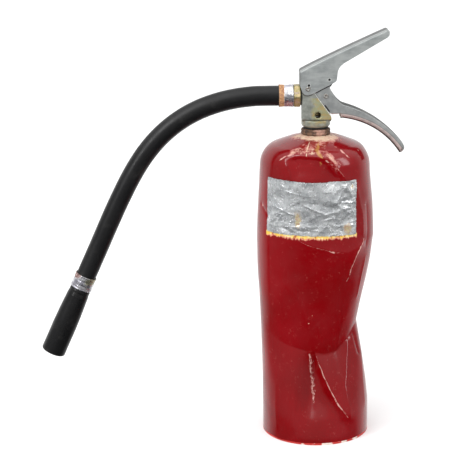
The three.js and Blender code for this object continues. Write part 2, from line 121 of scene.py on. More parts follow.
class Look(Nodes):
    """A Principled material, with masks and patterns in object coordinates."""

    def __init__(self, name, color, roughness, metallic=0.0, specular=0.5):
        self.material = bpy.data.materials.new(name)
        self.material.use_nodes = True
        super().__init__(self.material.node_tree)
        self.shader = self.tree.nodes["Principled BSDF"]
        self.fed(self.shader, ("Base Color", color), ("Roughness", roughness), ("Metallic", metallic),
                 ("Specular IOR Level", specular))
        self.place = self.node("ShaderNodeTexCoord").outputs["Object"]

    def stretch(self, scale):
        """Object coordinates, scaled differently along X, Y and Z."""
        return self.vector("MULTIPLY", self.place, scale)

    def noise(self, scale, detail=4.0, rough=0.55, place=None, distortion=0.0):
        made = self.node("ShaderNodeTexNoise")
        return self.fed(made, ("Vector", place or self.place), ("Scale", scale), ("Detail", detail),
                        ("Roughness", rough), ("Distortion", distortion)).outputs["Fac"]

    def patches(self, low, high, *noise):
        """Noise as a mask: 0 where it is below low and 1 where it is above high."""
        return self.ramp(self.noise(*noise), low, high)

    def cells(self, scale, feature="F1"):
        made = self.node("ShaderNodeTexVoronoi", feature=feature)
        return self.fed(made, ("Vector", self.place), ("Scale", scale)).outputs["Distance"]

    def disc(self, x, z, inner, outer):
        """1 within a circle about an axis along Y, fading to 0 between two radii, all in millimetres."""
        flat = self.vector("MULTIPLY", self.place, (1, 0, 1))
        away = self.vector("DISTANCE", flat, (AXIS_X + x * MM, 0, z * MM), output=1)
        return self.ramp(away, inner * MM, outer * MM, 1.0, 0.0)

    def stripe(self, x, z, dx, dz, low, high, soft=0.4):
        """1 between two distances, in millimetres, from a line through (x, z) with unit normal (dx, dz)."""
        away = self.vector("SUBTRACT", self.place, (AXIS_X + x * MM, 0, z * MM))
        away = self.vector("DOT_PRODUCT", away, (dx, 0, dz), output=1)
        inside = self.ramp(away, (low - soft) * MM, low * MM)
        return self.times(inside, self.ramp(away, high * MM, (high + soft) * MM, 1.0, 0.0))

    def attribute(self, name):
        return self.node("ShaderNodeAttribute", attribute_name=name).outputs["Fac"]

    def over(self, under, mask, strength, color):
        """A colour laid over another where a mask shows it, up to a strength."""
        return self.mix(self.times(mask, strength), under, color)

    def set(self, name, value):
        self.feed(self.shader.inputs[name], value)

    def color(self, value):
        self.set("Base Color", value)

    def roughness(self, scale, detail, low, high):
        """Roughness that wanders between two values."""
        self.set("Roughness", self.ramp(self.noise(scale, detail), 0.3, 0.7, low, high))

    def bump(self, height, depth_mm, strength):
        made = self.node("ShaderNodeBump")
        self.fed(made, ("Strength", strength), ("Distance", depth_mm * MM), ("Height", height))
        previous = self.shader.inputs["Normal"]
        if previous.is_linked:
            self.feed(made.inputs["Normal"], previous.links[0].from_socket)
        self.feed(previous, made.outputs["Normal"])


# ---------------------------------------------------------------- camera, floor and light
def added(name, data):
    """A new object in the scene."""
    made = bpy.data.objects.new(name, data)
    bpy.context.scene.collection.objects.link(made)
    return made


def make_camera():
    """The photographed view: from the front, a little left of the cylinder and looking down."""
    data = bpy.data.cameras.new("camera")
    data.lens, data.sensor_width = 125.9, 36.0
    camera = added("camera", data)
    place = Matrix.Translation((AXIS_X - 0.1097, -1.850, 0.729))
    pitch, roll = math.radians(90 - 14.2), math.radians(-0.70)
    camera.matrix_world = place @ Matrix.Rotation(pitch, 4, "X") @ Matrix.Rotation(roll, 4, "Z")
    bpy.context.scene.camera = camera


def light(name, kind, energy, direction):
    """A lamp that shines along a direction."""
    data = bpy.data.lights.new(name, kind)
    data.energy = energy
    lamp = added(name, data)
    lamp.rotation_euler = Vector(direction).to_track_quat("-Z", "Y").to_euler()
    return lamp


def softbox(name, location, width, height, power):
    """A rectangle of light that faces the extinguisher's middle."""
    lamp = light(name, "AREA", power, Vector((AXIS_X, 0, 0.25)) - Vector(location))
    lamp.location = location
    lamp.data.shape, lamp.data.size, lamp.data.size_y = "RECTANGLE", width, height


def make_studio():
    """A white tent, darker towards the ground, with a broad soft sun and two softboxes."""
    world = bpy.data.worlds.new("studio")
    bpy.context.scene.world = world
    world.use_nodes = True
    tent = Nodes(world.node_tree)
    direction = tent.fed(tent.node("ShaderNodeSeparateXYZ"),
                         (0, tent.node("ShaderNodeTexCoord").outputs["Generated"])).outputs
    shade = tent.fed(tent.node("ShaderNodeValToRGB"), ("Fac", tent.ramp(direction["Z"], -1, 1, smooth=False)))
    # Brightness by height, from straight down at 0 to straight up at 1.
    levels = [(0.27, 0.0), (0.375, 0.30), (0.5, 0.38), (0.67, 0.45), (0.85, 1.0), (1.0, 1.7)]
    stops = shade.color_ramp.elements
    while len(stops) < len(levels):
        stops.new(0.5)
    for stop, (height, level) in zip(stops, levels):
        stop.position, stop.color = height, (level, level, level, 1)
    behind = tent.ramp(direction["Y"], 0.1, 0.6, smooth=False)
    color = tent.mix(behind, shade.outputs["Color"], (1.0, 1.0, 1.0))
    tent.fed(tent.tree.nodes["Background"], ("Color", color))
    light("soft_sun", "SUN", 1.1, (0.5, 0.62, -1.0)).data.angle = math.radians(60)
    softbox("left_softbox", (-1.5, -1.2, 1.3), 0.5, 1.3, 14)
    softbox("right_softbox", (1.6, -0.7, 1.0), 0.35, 1.4, 9)
    bpy.context.scene.view_settings.view_transform = "Standard"


def make_floor():
    half = 20.0
    mesh = bpy.data.meshes.new("floor")
    corners = [(-half, -half, 0), (half, -half, 0), (half, half, 0), (-half, half, 0)]
    mesh.from_pydata(corners, [], [(0, 1, 2, 3)])
    mesh.materials.append(Look("floor_pale", (0.90, 0.90, 0.90), 0.9, specular=0.1).material)
    floor = added("floor", mesh)
    floor.visible_glossy = False        # the tent's dark foot shows in glossy paint instead


make_camera()
make_floor()
make_studio()


# ---------------------------------------------------------------- mesh helpers
def placed(points):
    """Millimetres from the cylinder's axis to metres in the frame."""
    return np.asarray(points, float) * MM + np.array([AXIS_X, 0, 0])


def piece(name, points, faces, look, **settings):
    """A mesh object from points in millimetres, with the settings of finished()."""
    mesh = bpy.data.meshes.new(name)
    mesh.from_pydata(placed(points).tolist(), [], outward(points, faces))
    return finished(name, mesh, look, **settings)


def finished(name, mesh, look, slot, replaces, body="body", sharp=None, smooth=True):
    """A mesh as a piece of the model, riding on a body and standing for a CAD node."""
    mesh.validate()
    if smooth:
        mesh.shade_smooth()
    if sharp is not None:
        mesh.set_sharp_from_angle(angle=math.radians(sharp))
    mesh.materials.clear()
    mesh.materials.append(look.material)
    made = added(name, mesh)
    if body:
        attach(made, body)
    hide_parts(replaces)
    return made


def vertices_of(made):
    """A piece's vertices in millimetres from the cylinder's axis."""
    at = np.zeros(len(made.data.vertices) * 3)
    made.data.vertices.foreach_get("co", at)
    return at.reshape(-1, 3) / MM - [AXIS_X / MM, 0, 0]


def paint(made, name, values):
    """Stores one number for each vertex, for a material to read."""
    layer = made.data.attributes.new(name, "FLOAT", "POINT")
    layer.data.foreach_set("value", np.asarray(values, np.float32).ravel())


def filleted(corners, steps=4):
    """A closed outline through (x, y, radius) corners, each rounded to its own radius."""
    outline = []
    count = len(corners)
    for i, (x, y, radius) in enumerate(corners):
        here = Vector((x, y))
        to_last = Vector(corners[i - 1][:2]) - here
        to_next = Vector(corners[(i + 1) % count][:2]) - here
        turn = to_last.angle(to_next, math.pi)
        if radius <= 0 or turn > math.radians(176):
            outline.append((x, y))
            continue
        reach = min(radius / math.tan(turn / 2), 0.48 * to_last.length, 0.48 * to_next.length)
        start, end = here + to_last.normalized() * reach, here + to_next.normalized() * reach
        for k in range(steps + 1):
            t = k / steps
            point = start * (1 - t) ** 2 + here * 2 * t * (1 - t) + end * t ** 2
            outline.append((point.x, point.y))
    return outline


def grid(columns, rows, across=True, up=True):
    """Faces over points stored column by column, closed round across, up, or both."""
    i, k = np.meshgrid(np.arange(columns - (not across)), np.arange(rows - (not up)), indexing="ij")
    j, m = (i + 1) % columns, (k + 1) % rows
    return np.stack([i * rows + k, j * rows + k, j * rows + m, i * rows + m], -1).reshape(-1, 4).tolist()


def spun(profile, facets, wobble=None):
    """Points and faces of a (radius, height) outline turned about Z; wobble(angle, r, z) -> r, z.

    An outline that starts and ends on the axis makes a solid piece, and any other a piece with a bore.
    """
    profile = [tuple(p) for p in profile]
    poles = []
    if profile[0][0] == 0 and profile[-1][0] == 0:
        poles, profile = [profile[0], profile[-1]], profile[1:-1]
    angles = np.linspace(0, 2 * math.pi, facets, endpoint=False)
    r, z = np.array(profile).T
    radius, height = np.tile(r, (facets, 1)), np.tile(z, (facets, 1))
    if wobble:
        radius, height = wobble(np.tile(angles[:, None], (1, len(r))), radius, height)
    points = np.stack([radius * np.cos(angles)[:, None], radius * np.sin(angles)[:, None], height], -1)
    points = points.reshape(-1, 3)
    ring = len(profile)
    faces = grid(facets, ring, up=not poles)
    if poles:
        points = np.concatenate([points, [(0, 0, poles[0][1]), (0, 0, poles[1][1])]])
        first = facets * ring
        for a in range(facets):
            b = (a + 1) % facets
            faces.append((first, b * ring, a * ring))
            faces.append((a * ring + ring - 1, b * ring + ring - 1, first + 1))
    return points, faces


def aimed(points, origin, direction):
    """Stands a shape built along +Z on a point, along another direction."""
    turn = np.array(Vector((0, 0, 1)).rotation_difference(Vector(direction).normalized()).to_matrix())
    return points @ turn.T + np.array(origin, float)


def outward(points, faces):
    """Faces turned so that the closed shape's volume is positive."""
    p = np.asarray(points, float)
    by_size = {}
    for face in faces:
        by_size.setdefault(len(face), []).append(face)
    volume = 0.0
    for size, group in by_size.items():
        corners = p[np.array(group)]
        for k in range(1, size - 1):
            cross = np.cross(corners[:, k], corners[:, k + 1])
            volume += float(np.einsum("ij,ij->", corners[:, 0], cross))
    return faces if volume > 0 else [tuple(reversed(f)) for f in faces]


def turned(name, profile, look, origin=(0, 0, 0), direction=(0, 0, 1), facets=96, wobble=None, **settings):
    """A turned piece; its profile is a closed outline of (radius, height, fillet) corners."""
    points, faces = spun(filleted(profile), facets, wobble)
    return piece(name, aimed(points, origin, direction), faces, look, **settings)


# ---------------------------------------------------------------- hose
HOSE_DIAMETER = 24.0
OUTLET_Z = 418.6
# The hose's centreline as [x, z], the same route as the CAD model's.
HOSE_ROUTE = [
    (-26.3, 418.6), (-42, 418.6), (-58, 418.6), (-75, 418.2), (-97, 415.5), (-118, 410.6), (-138.5, 403.2),
    (-157.3, 393.4), (-174.8, 381), (-190.7, 366.2), (-204.7, 349.4), (-216.8, 331.1), (-227.6, 311.7),
    (-237.6, 291.9), (-247.1, 271.8), (-256.3, 251.5), (-265.4, 231.3), (-274.5, 211.5), (-279.9, 199.7),
    (-287.0, 184.1),
]
HOSE_END = (HOSE_ROUTE[-1][0], 0, HOSE_ROUTE[-1][1])
OUT_OF_HOSE = (HOSE_ROUTE[-1][0] - HOSE_ROUTE[-3][0], 0, HOSE_ROUTE[-1][1] - HOSE_ROUTE[-3][1])


def smooth_route(points, step):
    """Evenly spaced points on a Catmull-Rom curve through given ones."""
    p = np.array(points, float)
    p = np.vstack([2 * p[0] - p[1], p, 2 * p[-1] - p[-2]])
    dense = []
    for a, b, c, d in zip(p[:-3], p[1:-2], p[2:-1], p[3:]):
        for t in np.linspace(0, 1, 20, endpoint=False):
            dense.append(0.5 * (2 * b + (c - a) * t + (2 * a - 5 * b + 4 * c - d) * t ** 2
                                + (3 * b - a - 3 * c + d) * t ** 3))
    dense.append(p[-2])
    dense = np.array(dense)
    along = np.concatenate([[0], np.cumsum(np.linalg.norm(np.diff(dense, axis=0), axis=1))])
    even = np.linspace(0, along[-1], int(along[-1] / step) + 1)
    return np.stack([np.interp(even, along, dense[:, i]) for i in range(2)], -1), along[-1]


def rubber_look(name, color, roughness, grain):
    look = Look(name, color, roughness, specular=0.32)
    scuff = look.patches(0.52, 0.75, 60, 6, 0.6)
    look.color(look.over(color, scuff, 0.3, (0.035, 0.033, 0.031)))
    look.roughness(35, 5, roughness - 0.07, roughness + 0.12)
    look.bump(look.noise(grain, 3), 0.05, 0.5)
    return look


def skin(rings, sides):
    """Faces over a stack of equal rings of points, with a flat face at each end."""
    faces = []
    for i in range(0, (rings - 1) * sides, sides):
        for k in range(sides):
            m = (k + 1) % sides
            faces.append((i + k, i + m, i + sides + m, i + sides + k))
    faces.append(tuple(reversed(range(sides))))
    faces.append(tuple(range((rings - 1) * sides, rings * sides)))
    return faces


def make_hose():
    route, length = smooth_route(HOSE_ROUTE, 2.5)
    sides = 48
    tangent = np.gradient(route, axis=0)
    tangent /= np.linalg.norm(tangent, axis=1)[:, None]
    across = np.stack([-tangent[:, 1], tangent[:, 0]], -1)
    turns = np.linspace(0, 2 * math.pi, sides, endpoint=False)
    out, side = HOSE_DIAMETER / 2 * np.cos(turns), HOSE_DIAMETER / 2 * np.sin(turns)
    rings = [np.stack([x + nx * out, side, z + nz * out], -1) for (x, z), (nx, nz) in zip(route, across)]
    look = rubber_look("hose_rubber_look", (0.0068, 0.0068, 0.0074), 0.36, 900)
    hose = piece("hose_tube", np.array(rings).reshape(-1, 3), skin(len(rings), sides), look,
                 slot="hose_rubber", replaces="hose", sharp=50)
    path = [tuple(p) for p in placed([(x, 0, z) for x, z in route[::6]]).tolist()]
    end = tuple(placed(HOSE_END).tolist())
    if path[-1] != end:
        path.append(end)
    return hose, path, length * MM


hose, hose_path, hose_length = make_hose()


# ---------------------------------------------------------------- solids for booleans
TO_FRAME = Matrix.Translation((AXIS_X, 0, 0)) @ Matrix.Scale(MM, 4)


def solid(points, faces):
    """A throwaway object whose units are millimetres, for booleans."""
    mesh = bpy.data.meshes.new("tool")
    mesh.from_pydata(np.asarray(points, float).tolist(), [], outward(points, faces))
    return added("tool", mesh)


def lathe(profile, origin=(0, 0, 0), direction=(0, 0, 1), facets=64):
    points, faces = spun(filleted(profile), facets)
    return solid(aimed(points, origin, direction), faces)


def evaluated(made):
    """The object's mesh with its modifiers applied."""
    graph = bpy.context.evaluated_depsgraph_get()
    return bpy.data.meshes.new_from_object(made.evaluated_get(graph), depsgraph=graph)


def combined(target, tools, operation):
    """Joins throwaway solids to a throwaway solid, or cuts them out of it."""
    for tool in tools:
        step = target.modifiers.new("step", "BOOLEAN")
        step.operation, step.solver, step.object = operation, "MANIFOLD", tool
    mesh = evaluated(target)
    for done in (target, *tools):
        bpy.data.objects.remove(done)
    return added("tool", mesh)


def in_frame(made):
    """A throwaway solid's mesh with its modifiers applied, in frame metres; the object goes."""
    mesh = evaluated(made)
    bpy.data.objects.remove(made)
    mesh.transform(TO_FRAME)
    return mesh


def remeshed(made, voxel, smoothing):
    """A throwaway solid's mesh, its edges softened as a casting's are."""
    step = made.modifiers.new("voxels", "REMESH")
    step.mode, step.voxel_size = "VOXEL", voxel
    softer = made.modifiers.new("softer", "SMOOTH")
    softer.factor, softer.iterations = 0.5, smoothing
    return in_frame(made)


def ring_cheeks(mesh):
    """Sharp edges round the flat faces that look along Y, so that their thin triangles shade flat."""
    normals = np.zeros(len(mesh.polygons) * 3)
    mesh.polygons.foreach_get("normal", normals)
    sizes, edge_of = np.zeros(len(mesh.polygons), int), np.zeros(len(mesh.loops), int)
    mesh.polygons.foreach_get("loop_total", sizes)
    mesh.loops.foreach_get("edge_index", edge_of)
    cheek = np.repeat(np.abs(normals.reshape(-1, 3)[:, 1]) > 0.9999, sizes)
    on_cheek = np.bincount(edge_of, cheek, len(mesh.edges))
    sharp = np.zeros(len(mesh.edges), bool)
    mesh.edges.foreach_get("use_edge_sharp", sharp)
    sharp |= (on_cheek > 0) & (on_cheek < np.bincount(edge_of, minlength=len(mesh.edges)))
    mesh.edges.foreach_set("use_edge_sharp", sharp)


def as_piece(name, made, look, **settings):
    """Turns a throwaway solid into a finished piece with flat faces shaded flat."""
    made.data.shade_smooth()
    made.data.set_sharp_from_angle(angle=math.radians(30))
    ring_cheeks(made.data)
    made.modifiers.new("normals", "WEIGHTED_NORMAL").keep_sharp = True
    mesh = in_frame(made)
    mesh.name = name
    return finished(name, mesh, look, smooth=False, **settings)


def traced(start, steps, spacing=1.2):
    """An outline with a bend radius at each point, from straight, curved and circular steps.

    ("to", x, z, bend), ("curve", control x, control z, x, z, bend) and
    ("arc", centre x, centre z, radius, from degrees, to degrees, bend).
    """
    points, bends = [start], [steps[-1][-1]]
    for step in steps:
        here = np.array(points[-1], float)
        if step[0] == "to":
            end = np.array(step[1:3], float)
            count = max(1, int(np.linalg.norm(end - here) / (3 * spacing)))
            new = [here + (end - here) * t for t in np.linspace(0, 1, count + 1)[1:]]
        elif step[0] == "curve":
            bow, end = np.array(step[1:3], float), np.array(step[3:5], float)
            count = max(4, int((np.linalg.norm(bow - here) + np.linalg.norm(end - bow)) / spacing))
            new = [here * (1 - t) ** 2 + bow * 2 * t * (1 - t) + end * t * t
                   for t in np.linspace(0, 1, count + 1)[1:]]
        else:
            cx, cz, radius, first, last = step[1:6]
            count = max(4, int(abs(math.radians(last - first)) * radius / spacing))
            new = [(cx + radius * math.cos(a), cz + radius * math.sin(a))
                   for a in np.radians(np.linspace(first, last, count + 1))]
        points += [tuple(p) for p in new]
        bends += [step[-1]] * len(new)
    keep = [i for i in range(len(points)) if math.dist(points[i], points[i - 1]) > 0.02]
    return np.array([points[i] for i in keep]), np.array([bends[i] for i in keep], float)


def rounded_plate(traced_outline, half_width):
    """A throwaway solid: an outline in x and z extruded along y, its edges rounded to its bend radii."""
    outline, bends = traced_outline
    x, z = outline.T
    if np.sum(x * np.roll(z, -1) - z * np.roll(x, -1)) < 0:
        outline, bends = outline[::-1], bends[::-1]
    along = np.roll(outline, -1, axis=0) - np.roll(outline, 1, axis=0)
    along /= np.linalg.norm(along, axis=1)[:, None]
    inward = np.stack([-along[:, 1], along[:, 0]], -1)
    bends = (np.roll(bends, 1) + bends * 2 + np.roll(bends, -1)) / 4
    steps = np.array([0, 0.04, 0.12, 0.3, 0.6, 1.0, 1.6, 2.3, 3.2, 4.0])
    steps = steps[steps < half_width]
    levels = np.concatenate([steps - half_width, half_width - steps[::-1]])
    rings = []
    for y in levels:
        into = np.clip(np.abs(y) - (half_width - bends), 0, bends)
        shift = bends - np.sqrt(np.maximum(bends ** 2 - into ** 2, 0))
        ring = outline + inward * shift[:, None]
        rings.append(np.stack([ring[:, 0], np.full(len(ring), y), ring[:, 1]], -1))
    return solid(np.concatenate(rings), skin(len(levels), len(outline)))


# ---------------------------------------------------------------- the crushed wall
RADIUS = 65.0
WALL = 1.6
KNEE_Z, KNEE_RADIUS, CROWN_SLOPE = 341.0, 22.0, 18.7
KNEE_X = RADIUS - KNEE_RADIUS
NECK_Z, NECK_HOLE = 372.2, 15.8
SWELL, SWELL_Z, SWELL_SPREAD = 6.1, 238.0, 95.0
LEAN_WAIST, LEAN_KNEE = 1.0, 1.3
FOLD_DEPTH, FOLD_BOTTOM = 25.0, 30.0
# Heights of the crushed waist's upper edge and of its deepest line, by angle from the front.
FOLD_TOP = [(-180, 250), (-60, 256), (-22, 255), (-7, 249), (8, 245), (19, 241), (34, 238), (48, 243),
            (60, 250), (180, 250)]
FOLD_FLOOR = [(-180, 150), (-100, 156), (-70.5, 147), (-62.5, 133), (-42.8, 121), (-11.4, 111), (12, 107),
              (37, 109), (61, 123), (75, 136), (100, 142), (180, 150)]


def ease(x, low, high):
    """0 below low, 1 above high and smooth between them."""
    t = np.clip((x - low) / (high - low), 0, 1)
    return t * t * (3 - 2 * t)


def hump(x, middle, spread):
    """1 at the middle, falling away on both sides as a bell."""
    return np.exp(-((x - middle) / spread) ** 2)


def along_table(angle, table):
    """A height that varies smoothly with the angle from the front."""
    known = np.array(table, float)
    fine = np.arange(-180.0, 181.0, 2.0)
    level = np.interp(fine, known[:, 0], known[:, 1])
    for _ in range(3):
        level[1:-1] = (level[:-2] + 2 * level[1:-1] + level[2:]) / 4
    return np.interp(angle, fine, level)


def from_line(angle, z, line):
    """Signed distance in millimetres from a line of (angle, z) points, and how far along it, 0 to 1."""
    u = np.radians(angle) * RADIUS
    knots = np.array([(math.radians(a) * RADIUS, h) for a, h in line])
    lengths = np.linalg.norm(np.diff(knots, axis=0), axis=1)
    starts = np.concatenate([[0], np.cumsum(lengths)]) / lengths.sum()
    best = np.full(np.shape(u), 1e9)
    side, place = np.zeros(np.shape(u)), np.zeros(np.shape(u))
    for (ax, az), (bx, bz), length, start in zip(knots[:-1], knots[1:], lengths, starts):
        dx, dz = (bx - ax) / length, (bz - az) / length
        t = np.clip((u - ax) * dx + (z - az) * dz, 0, length)
        distance = np.hypot(u - ax - dx * t, z - az - dz * t)
        nearer = distance < best
        best = np.where(nearer, distance, best)
        side = np.where(nearer, np.sign(dx * (z - az) - dz * (u - ax)), side)
        place = np.where(nearer, start + t / lengths.sum(), place)
    return best * np.where(side == 0, 1, side), place


def ridge(angle, z, line, height, left, right, ends=0.15, soft=0.5):
    """A crease that stands up or sinks in along a line, falling away over its left and right widths."""
    distance, place = from_line(angle, z, line)
    width = np.where(distance > 0, left, right)
    away = np.sqrt(distance ** 2 + soft ** 2) - soft
    taper = ease(place, 0, ends) * (1 - ease(place, 1 - ends, 1))
    return height * taper * np.exp(-away / width)


# The sharp diagonal crease of the lower fold: the wall below it stands steeper, for a while.
FACET_EDGE = [(-4, 112), (-2, 106.7), (4.5, 92.7), (12.7, 73.6), (23.5, 48.6), (37.5, 25.9)]
FACET_SLOPE, FACET_DEPTH = 0.55, 15.0
LIP = [(-42, 352), (-38.6, 355), (-25.6, 357.7), (-12.3, 357.8), (-0.7, 356.9), (11.3, 353.5), (19.4, 344),
       (27.9, 331), (33, 322)]
# line, height, width on its left and on its right seen along the line, all in millimetres
CREASES = [
    ([(-30, 256), (-22, 254.6), (-7.3, 247.6), (7.8, 243.5), (18.6, 240.4), (30, 238)], 0.9, 5, 5),
    ([(57.5, 252), (51.1, 243.4), (45, 229.4), (41.3, 217.2), (38, 200)], 1.7, 7, 5),
    ([(63.6, 232), (62.6, 204), (63.6, 170)], 0.7, 2.5, 3),
    ([(40, 330), (43.5, 323), (54.2, 281), (55.9, 250)], 1.0, 4, 5),
    ([(62, 300), (64, 262), (61, 236)], -0.8, 4, 3),
    ([(-76, 294), (-71.9, 290.4), (-61.7, 281.9), (-56, 276)], -1.0, 3, 3),
    ([(63, 127), (59.2, 121), (47.7, 97.3), (36.8, 70.8), (36.6, 37.6), (38, 20)], 1.7, 7, 9),
    (FACET_EDGE, 0.8, 9, 3),
    ([(71, 130), (71.9, 123.8), (73.3, 104.5), (73, 98)], -1.6, 2.5, 3),
    ([(-14, 116), (-12, 111), (-8.9, 80.5), (-5.7, 51.9), (-3, 40)], 0.5, 2.5, 4),
    ([(-52, 80), (-51, 45), (-49, 8)], 0.5, 3, 4),
    ([(-28, 70), (-27, 12)], 0.4, 3, 3),
    ([(84, 110), (70, 70), (66, 30)], 0.8, 7, 7),
    ([(-2, 150), (8, 130), (16, 112)], 0.6, 6, 6),
    ([(-45, 205), (-20, 175), (-14, 140)], 0.4, 9, 9),
    ([(20, 230), (26, 190), (30, 150)], 0.5, 9, 9),
]


def waves(angle, z, seed, size, count=9):
    """Smooth random unevenness, the same on every run."""
    rng = np.random.default_rng(seed)
    total = np.zeros(np.shape(angle))
    for _ in range(count):
        turns = rng.integers(1, max(2, int(2 * math.pi * RADIUS / size)))
        climb = rng.uniform(-1, 1) * 2 * math.pi / size
        total += np.cos(turns * np.radians(angle) + z * climb + rng.uniform(0, 6.3))
    return total / math.sqrt(count)


def crushed_waist(angle, z):
    """The large dents, which the CAD model has in a simpler form: a swell, a lean and a deep fold."""
    fade = ease(z, 20, 60) * (1 - ease(z, 335, 356))
    swell = -SWELL * hump(z, SWELL_Z, SWELL_SPREAD) * np.cos(2 * np.radians(angle))
    off = angle - 20
    across = 1 - np.where(off < 0, ease(-off, 5, 100), 0.32 * ease(off, 20, 70) + 0.68 * ease(off, 70, 135))
    top, floor = along_table(angle, FOLD_TOP), along_table(angle, FOLD_FLOOR)
    above = np.clip((top - z) / (top - floor), 0, 1)
    below = np.clip((z - FOLD_BOTTOM) / (floor - FOLD_BOTTOM), 0, 1)
    down = np.where(z > floor, above, below ** 1.5)
    climb = LEAN_WAIST * ease(z, 215, 245) + LEAN_KNEE * ease(z, 285, 335)
    lean = climb * (1 - ease(z, 348, 371)) * np.maximum(0, np.sin(np.radians(angle))) ** 2
    return swell * fade - lean - FOLD_DEPTH * across * down


def facet(angle, z):
    """How far the wall is pushed in below the diagonal crease."""
    edge_angles, edge_heights = zip(*FACET_EDGE)
    under = np.clip(np.interp(angle, edge_angles, edge_heights) - z, 0, None) * FACET_SLOPE
    pushed = FACET_DEPTH * (1 - np.exp(-(under / FACET_DEPTH) - (under / FACET_DEPTH) ** 2 / 2))
    return pushed * ease(angle, -34, -8) * (1 - ease(angle, 31, 37)) * ease(z, 6, 62)


def hooked_lip(angle, z):
    """A lip at the front of the shoulder, with a hollow pressed in under it."""
    distance, place = from_line(angle, z, LIP)
    hooked = ease(place, 0, 0.22) * (1 - ease(place, 0.82, 1))
    inside = np.where(distance < 0, ease(-distance, 0.3, 8) * (1 - ease(-distance, 9, 34)), 0)
    return hooked * (1.3 * np.exp(-np.abs(distance) / 3.0) - 5.6 * inside)


def dent(angle, z):
    """How far the painted wall stands out (+) or in (-), in millimetres."""
    total = crushed_waist(angle, z)
    flat = ease(z, 6, 22) * (1 - ease(z, 362, 371))
    for line, height, left, right in CREASES:
        total += ridge(angle, z, line, height, left, right) * flat
    total += hooked_lip(angle, z) - facet(angle, z)
    return total + flat * (0.34 * hump(z, 190, 110) * waves(angle, z, 3, 70) + 0.06 * waves(angle, z, 5, 24))


def outer_profile(spacing=1.25):
    """Radius and height up the outside of the unhurt cylinder, from the floor to the neck."""
    sweep = np.radians(np.linspace(0, 90 - CROWN_SLOPE, 30))
    line = [(RADIUS - 0.5, 0), (RADIUS, 0.6)]
    line += [(RADIUS, z) for z in np.arange(2.0, KNEE_Z, spacing)]
    line += [(KNEE_X + KNEE_RADIUS * math.cos(a), KNEE_Z + KNEE_RADIUS * math.sin(a)) for a in sweep]
    last = line[-1]
    for t in np.linspace(0, 1, 20)[1:]:
        r = last[0] + (NECK_HOLE - last[0]) * t
        rise = (NECK_Z - last[1]) * (1 - (1 - t) ** 1.35)
        line.append((r, last[1] + rise))
    return np.array(line)


def base_radius(z):
    """The unhurt cylinder's outside radius at a height."""
    lift = np.clip(z - KNEE_Z, 0, KNEE_RADIUS)
    return np.where(z <= KNEE_Z, RADIUS, KNEE_X + np.sqrt(KNEE_RADIUS ** 2 - lift ** 2))


def round_axis(radius, angle, z):
    """Points at a radius and an angle from the front, in degrees towards +X."""
    turn = np.radians(angle)
    return np.stack([radius * np.sin(turn), -radius * np.cos(turn), z], -1)


def on_wall(angle, z, lift=0.0):
    """Points on the crushed wall, lifted off it along its radius."""
    return round_axis(base_radius(z) + dent(angle, z) + lift, angle, z)


def near(angle, z, line, width):
    """1 on a line of (angle, z) points, falling to 0 at a distance in millimetres; uneven, with thin ends."""
    distance, place = from_line(angle, z, line)
    reach = width * (0.35 + 0.65 * np.sin(math.pi * np.clip(place, 0, 1)) ** 0.6)
    reach = reach * (1 + 0.45 * waves(angle, z, 61, 7)) + 0.05
    off = np.abs(distance + 0.3 * waves(angle, z, 67, 16))
    return 1 - ease(off, 0.1 * reach, reach)


# Chips in the paint: strength, width in millimetres and a line of (angle, z) points.
CHIPS = [
    (1.0, 2.4, [(29.7, 361), (31.5, 358.5), (33, 357)]), (0.9, 1.7, [(32, 358.5), (34, 355), (37, 352.2)]),
    (0.8, 1.1, [(15.5, 349), (21, 341), (27.9, 331)]), (0.9, 1.9, [(7.5, 352), (11, 349.5)]),
    (0.9, 1.8, [(-46, 349), (-38.6, 355), (-29, 357.5)]), (0.8, 1.8, [(13, 242.2), (18.6, 239.5)]),
    (0.62, 1.5, CREASES[0][0]), (0.9, 1.4, [(55, 249), (51.1, 243.4), (47, 233.5)]),
    (0.75, 1.5, CREASES[1][0]), (0.9, 3.4, [(-73, 292), (-70.5, 289)]),
    (0.7, 1.3, [(-69, 288), (-61.7, 281.9)]),
    (1.0, 1.2, FACET_EDGE[1:]), (0.5, 1.1, CREASES[2][0]), (0.4, 2.6, CREASES[6][0][2:5]),
    (0.5, 1.5, [(70.5, 122), (72, 106)]), (0.55, 1.4, CREASES[3][0]), (0.5, 1.2, [(-22, 181), (-18, 173)]),
    (0.4, 1.0, [(-5, 150), (1, 143)]), (0.5, 1.3, [(-9, 138), (-5, 131)]),
    (0.35, 1.2, [(-51, 70), (-50, 40)]),
    (0.3, 1.5, [(-27, 60), (-26, 18)]), (0.3, 1.3, [(66, 80), (64, 50)]),
]


def make_shell(look):
    angles = np.concatenate([np.arange(-104, 104, 0.9), np.arange(104, 256, 2.0)])
    outside = outer_profile()
    inside = np.array([(r, z) for r, z in outside if 8 < z < KNEE_Z][::10])
    inside = np.concatenate([
        [(NECK_HOLE, NECK_Z - WALL), (KNEE_X, KNEE_Z + KNEE_RADIUS - WALL - 0.5),
         (RADIUS - 8, KNEE_Z + KNEE_RADIUS * 0.76 - WALL)],
        inside[::-1] - [WALL, 0],
        [(RADIUS - WALL, 5), (RADIUS - 2.5, 4), (RADIUS - 2.5, 0.3), (RADIUS - 2.2, 0)],
    ])
    profile = np.concatenate([outside, inside])
    angle = np.tile(((angles + 180) % 360 - 180)[:, None], (1, len(profile)))
    r, z = np.tile(profile[:, 0], (len(angles), 1)), np.tile(profile[:, 1], (len(angles), 1))
    r = r + dent(angle, z) * ease(r, NECK_HOLE + 2, RADIUS * 0.7)
    points, faces = round_axis(r, angle, z).reshape(-1, 3), grid(len(angles), len(profile))
    shell = piece("cylinder_wall", points, faces, look, slot="red_paint", replaces="cylinder_shell", sharp=60)
    paint_wear(shell, angle, r, z)


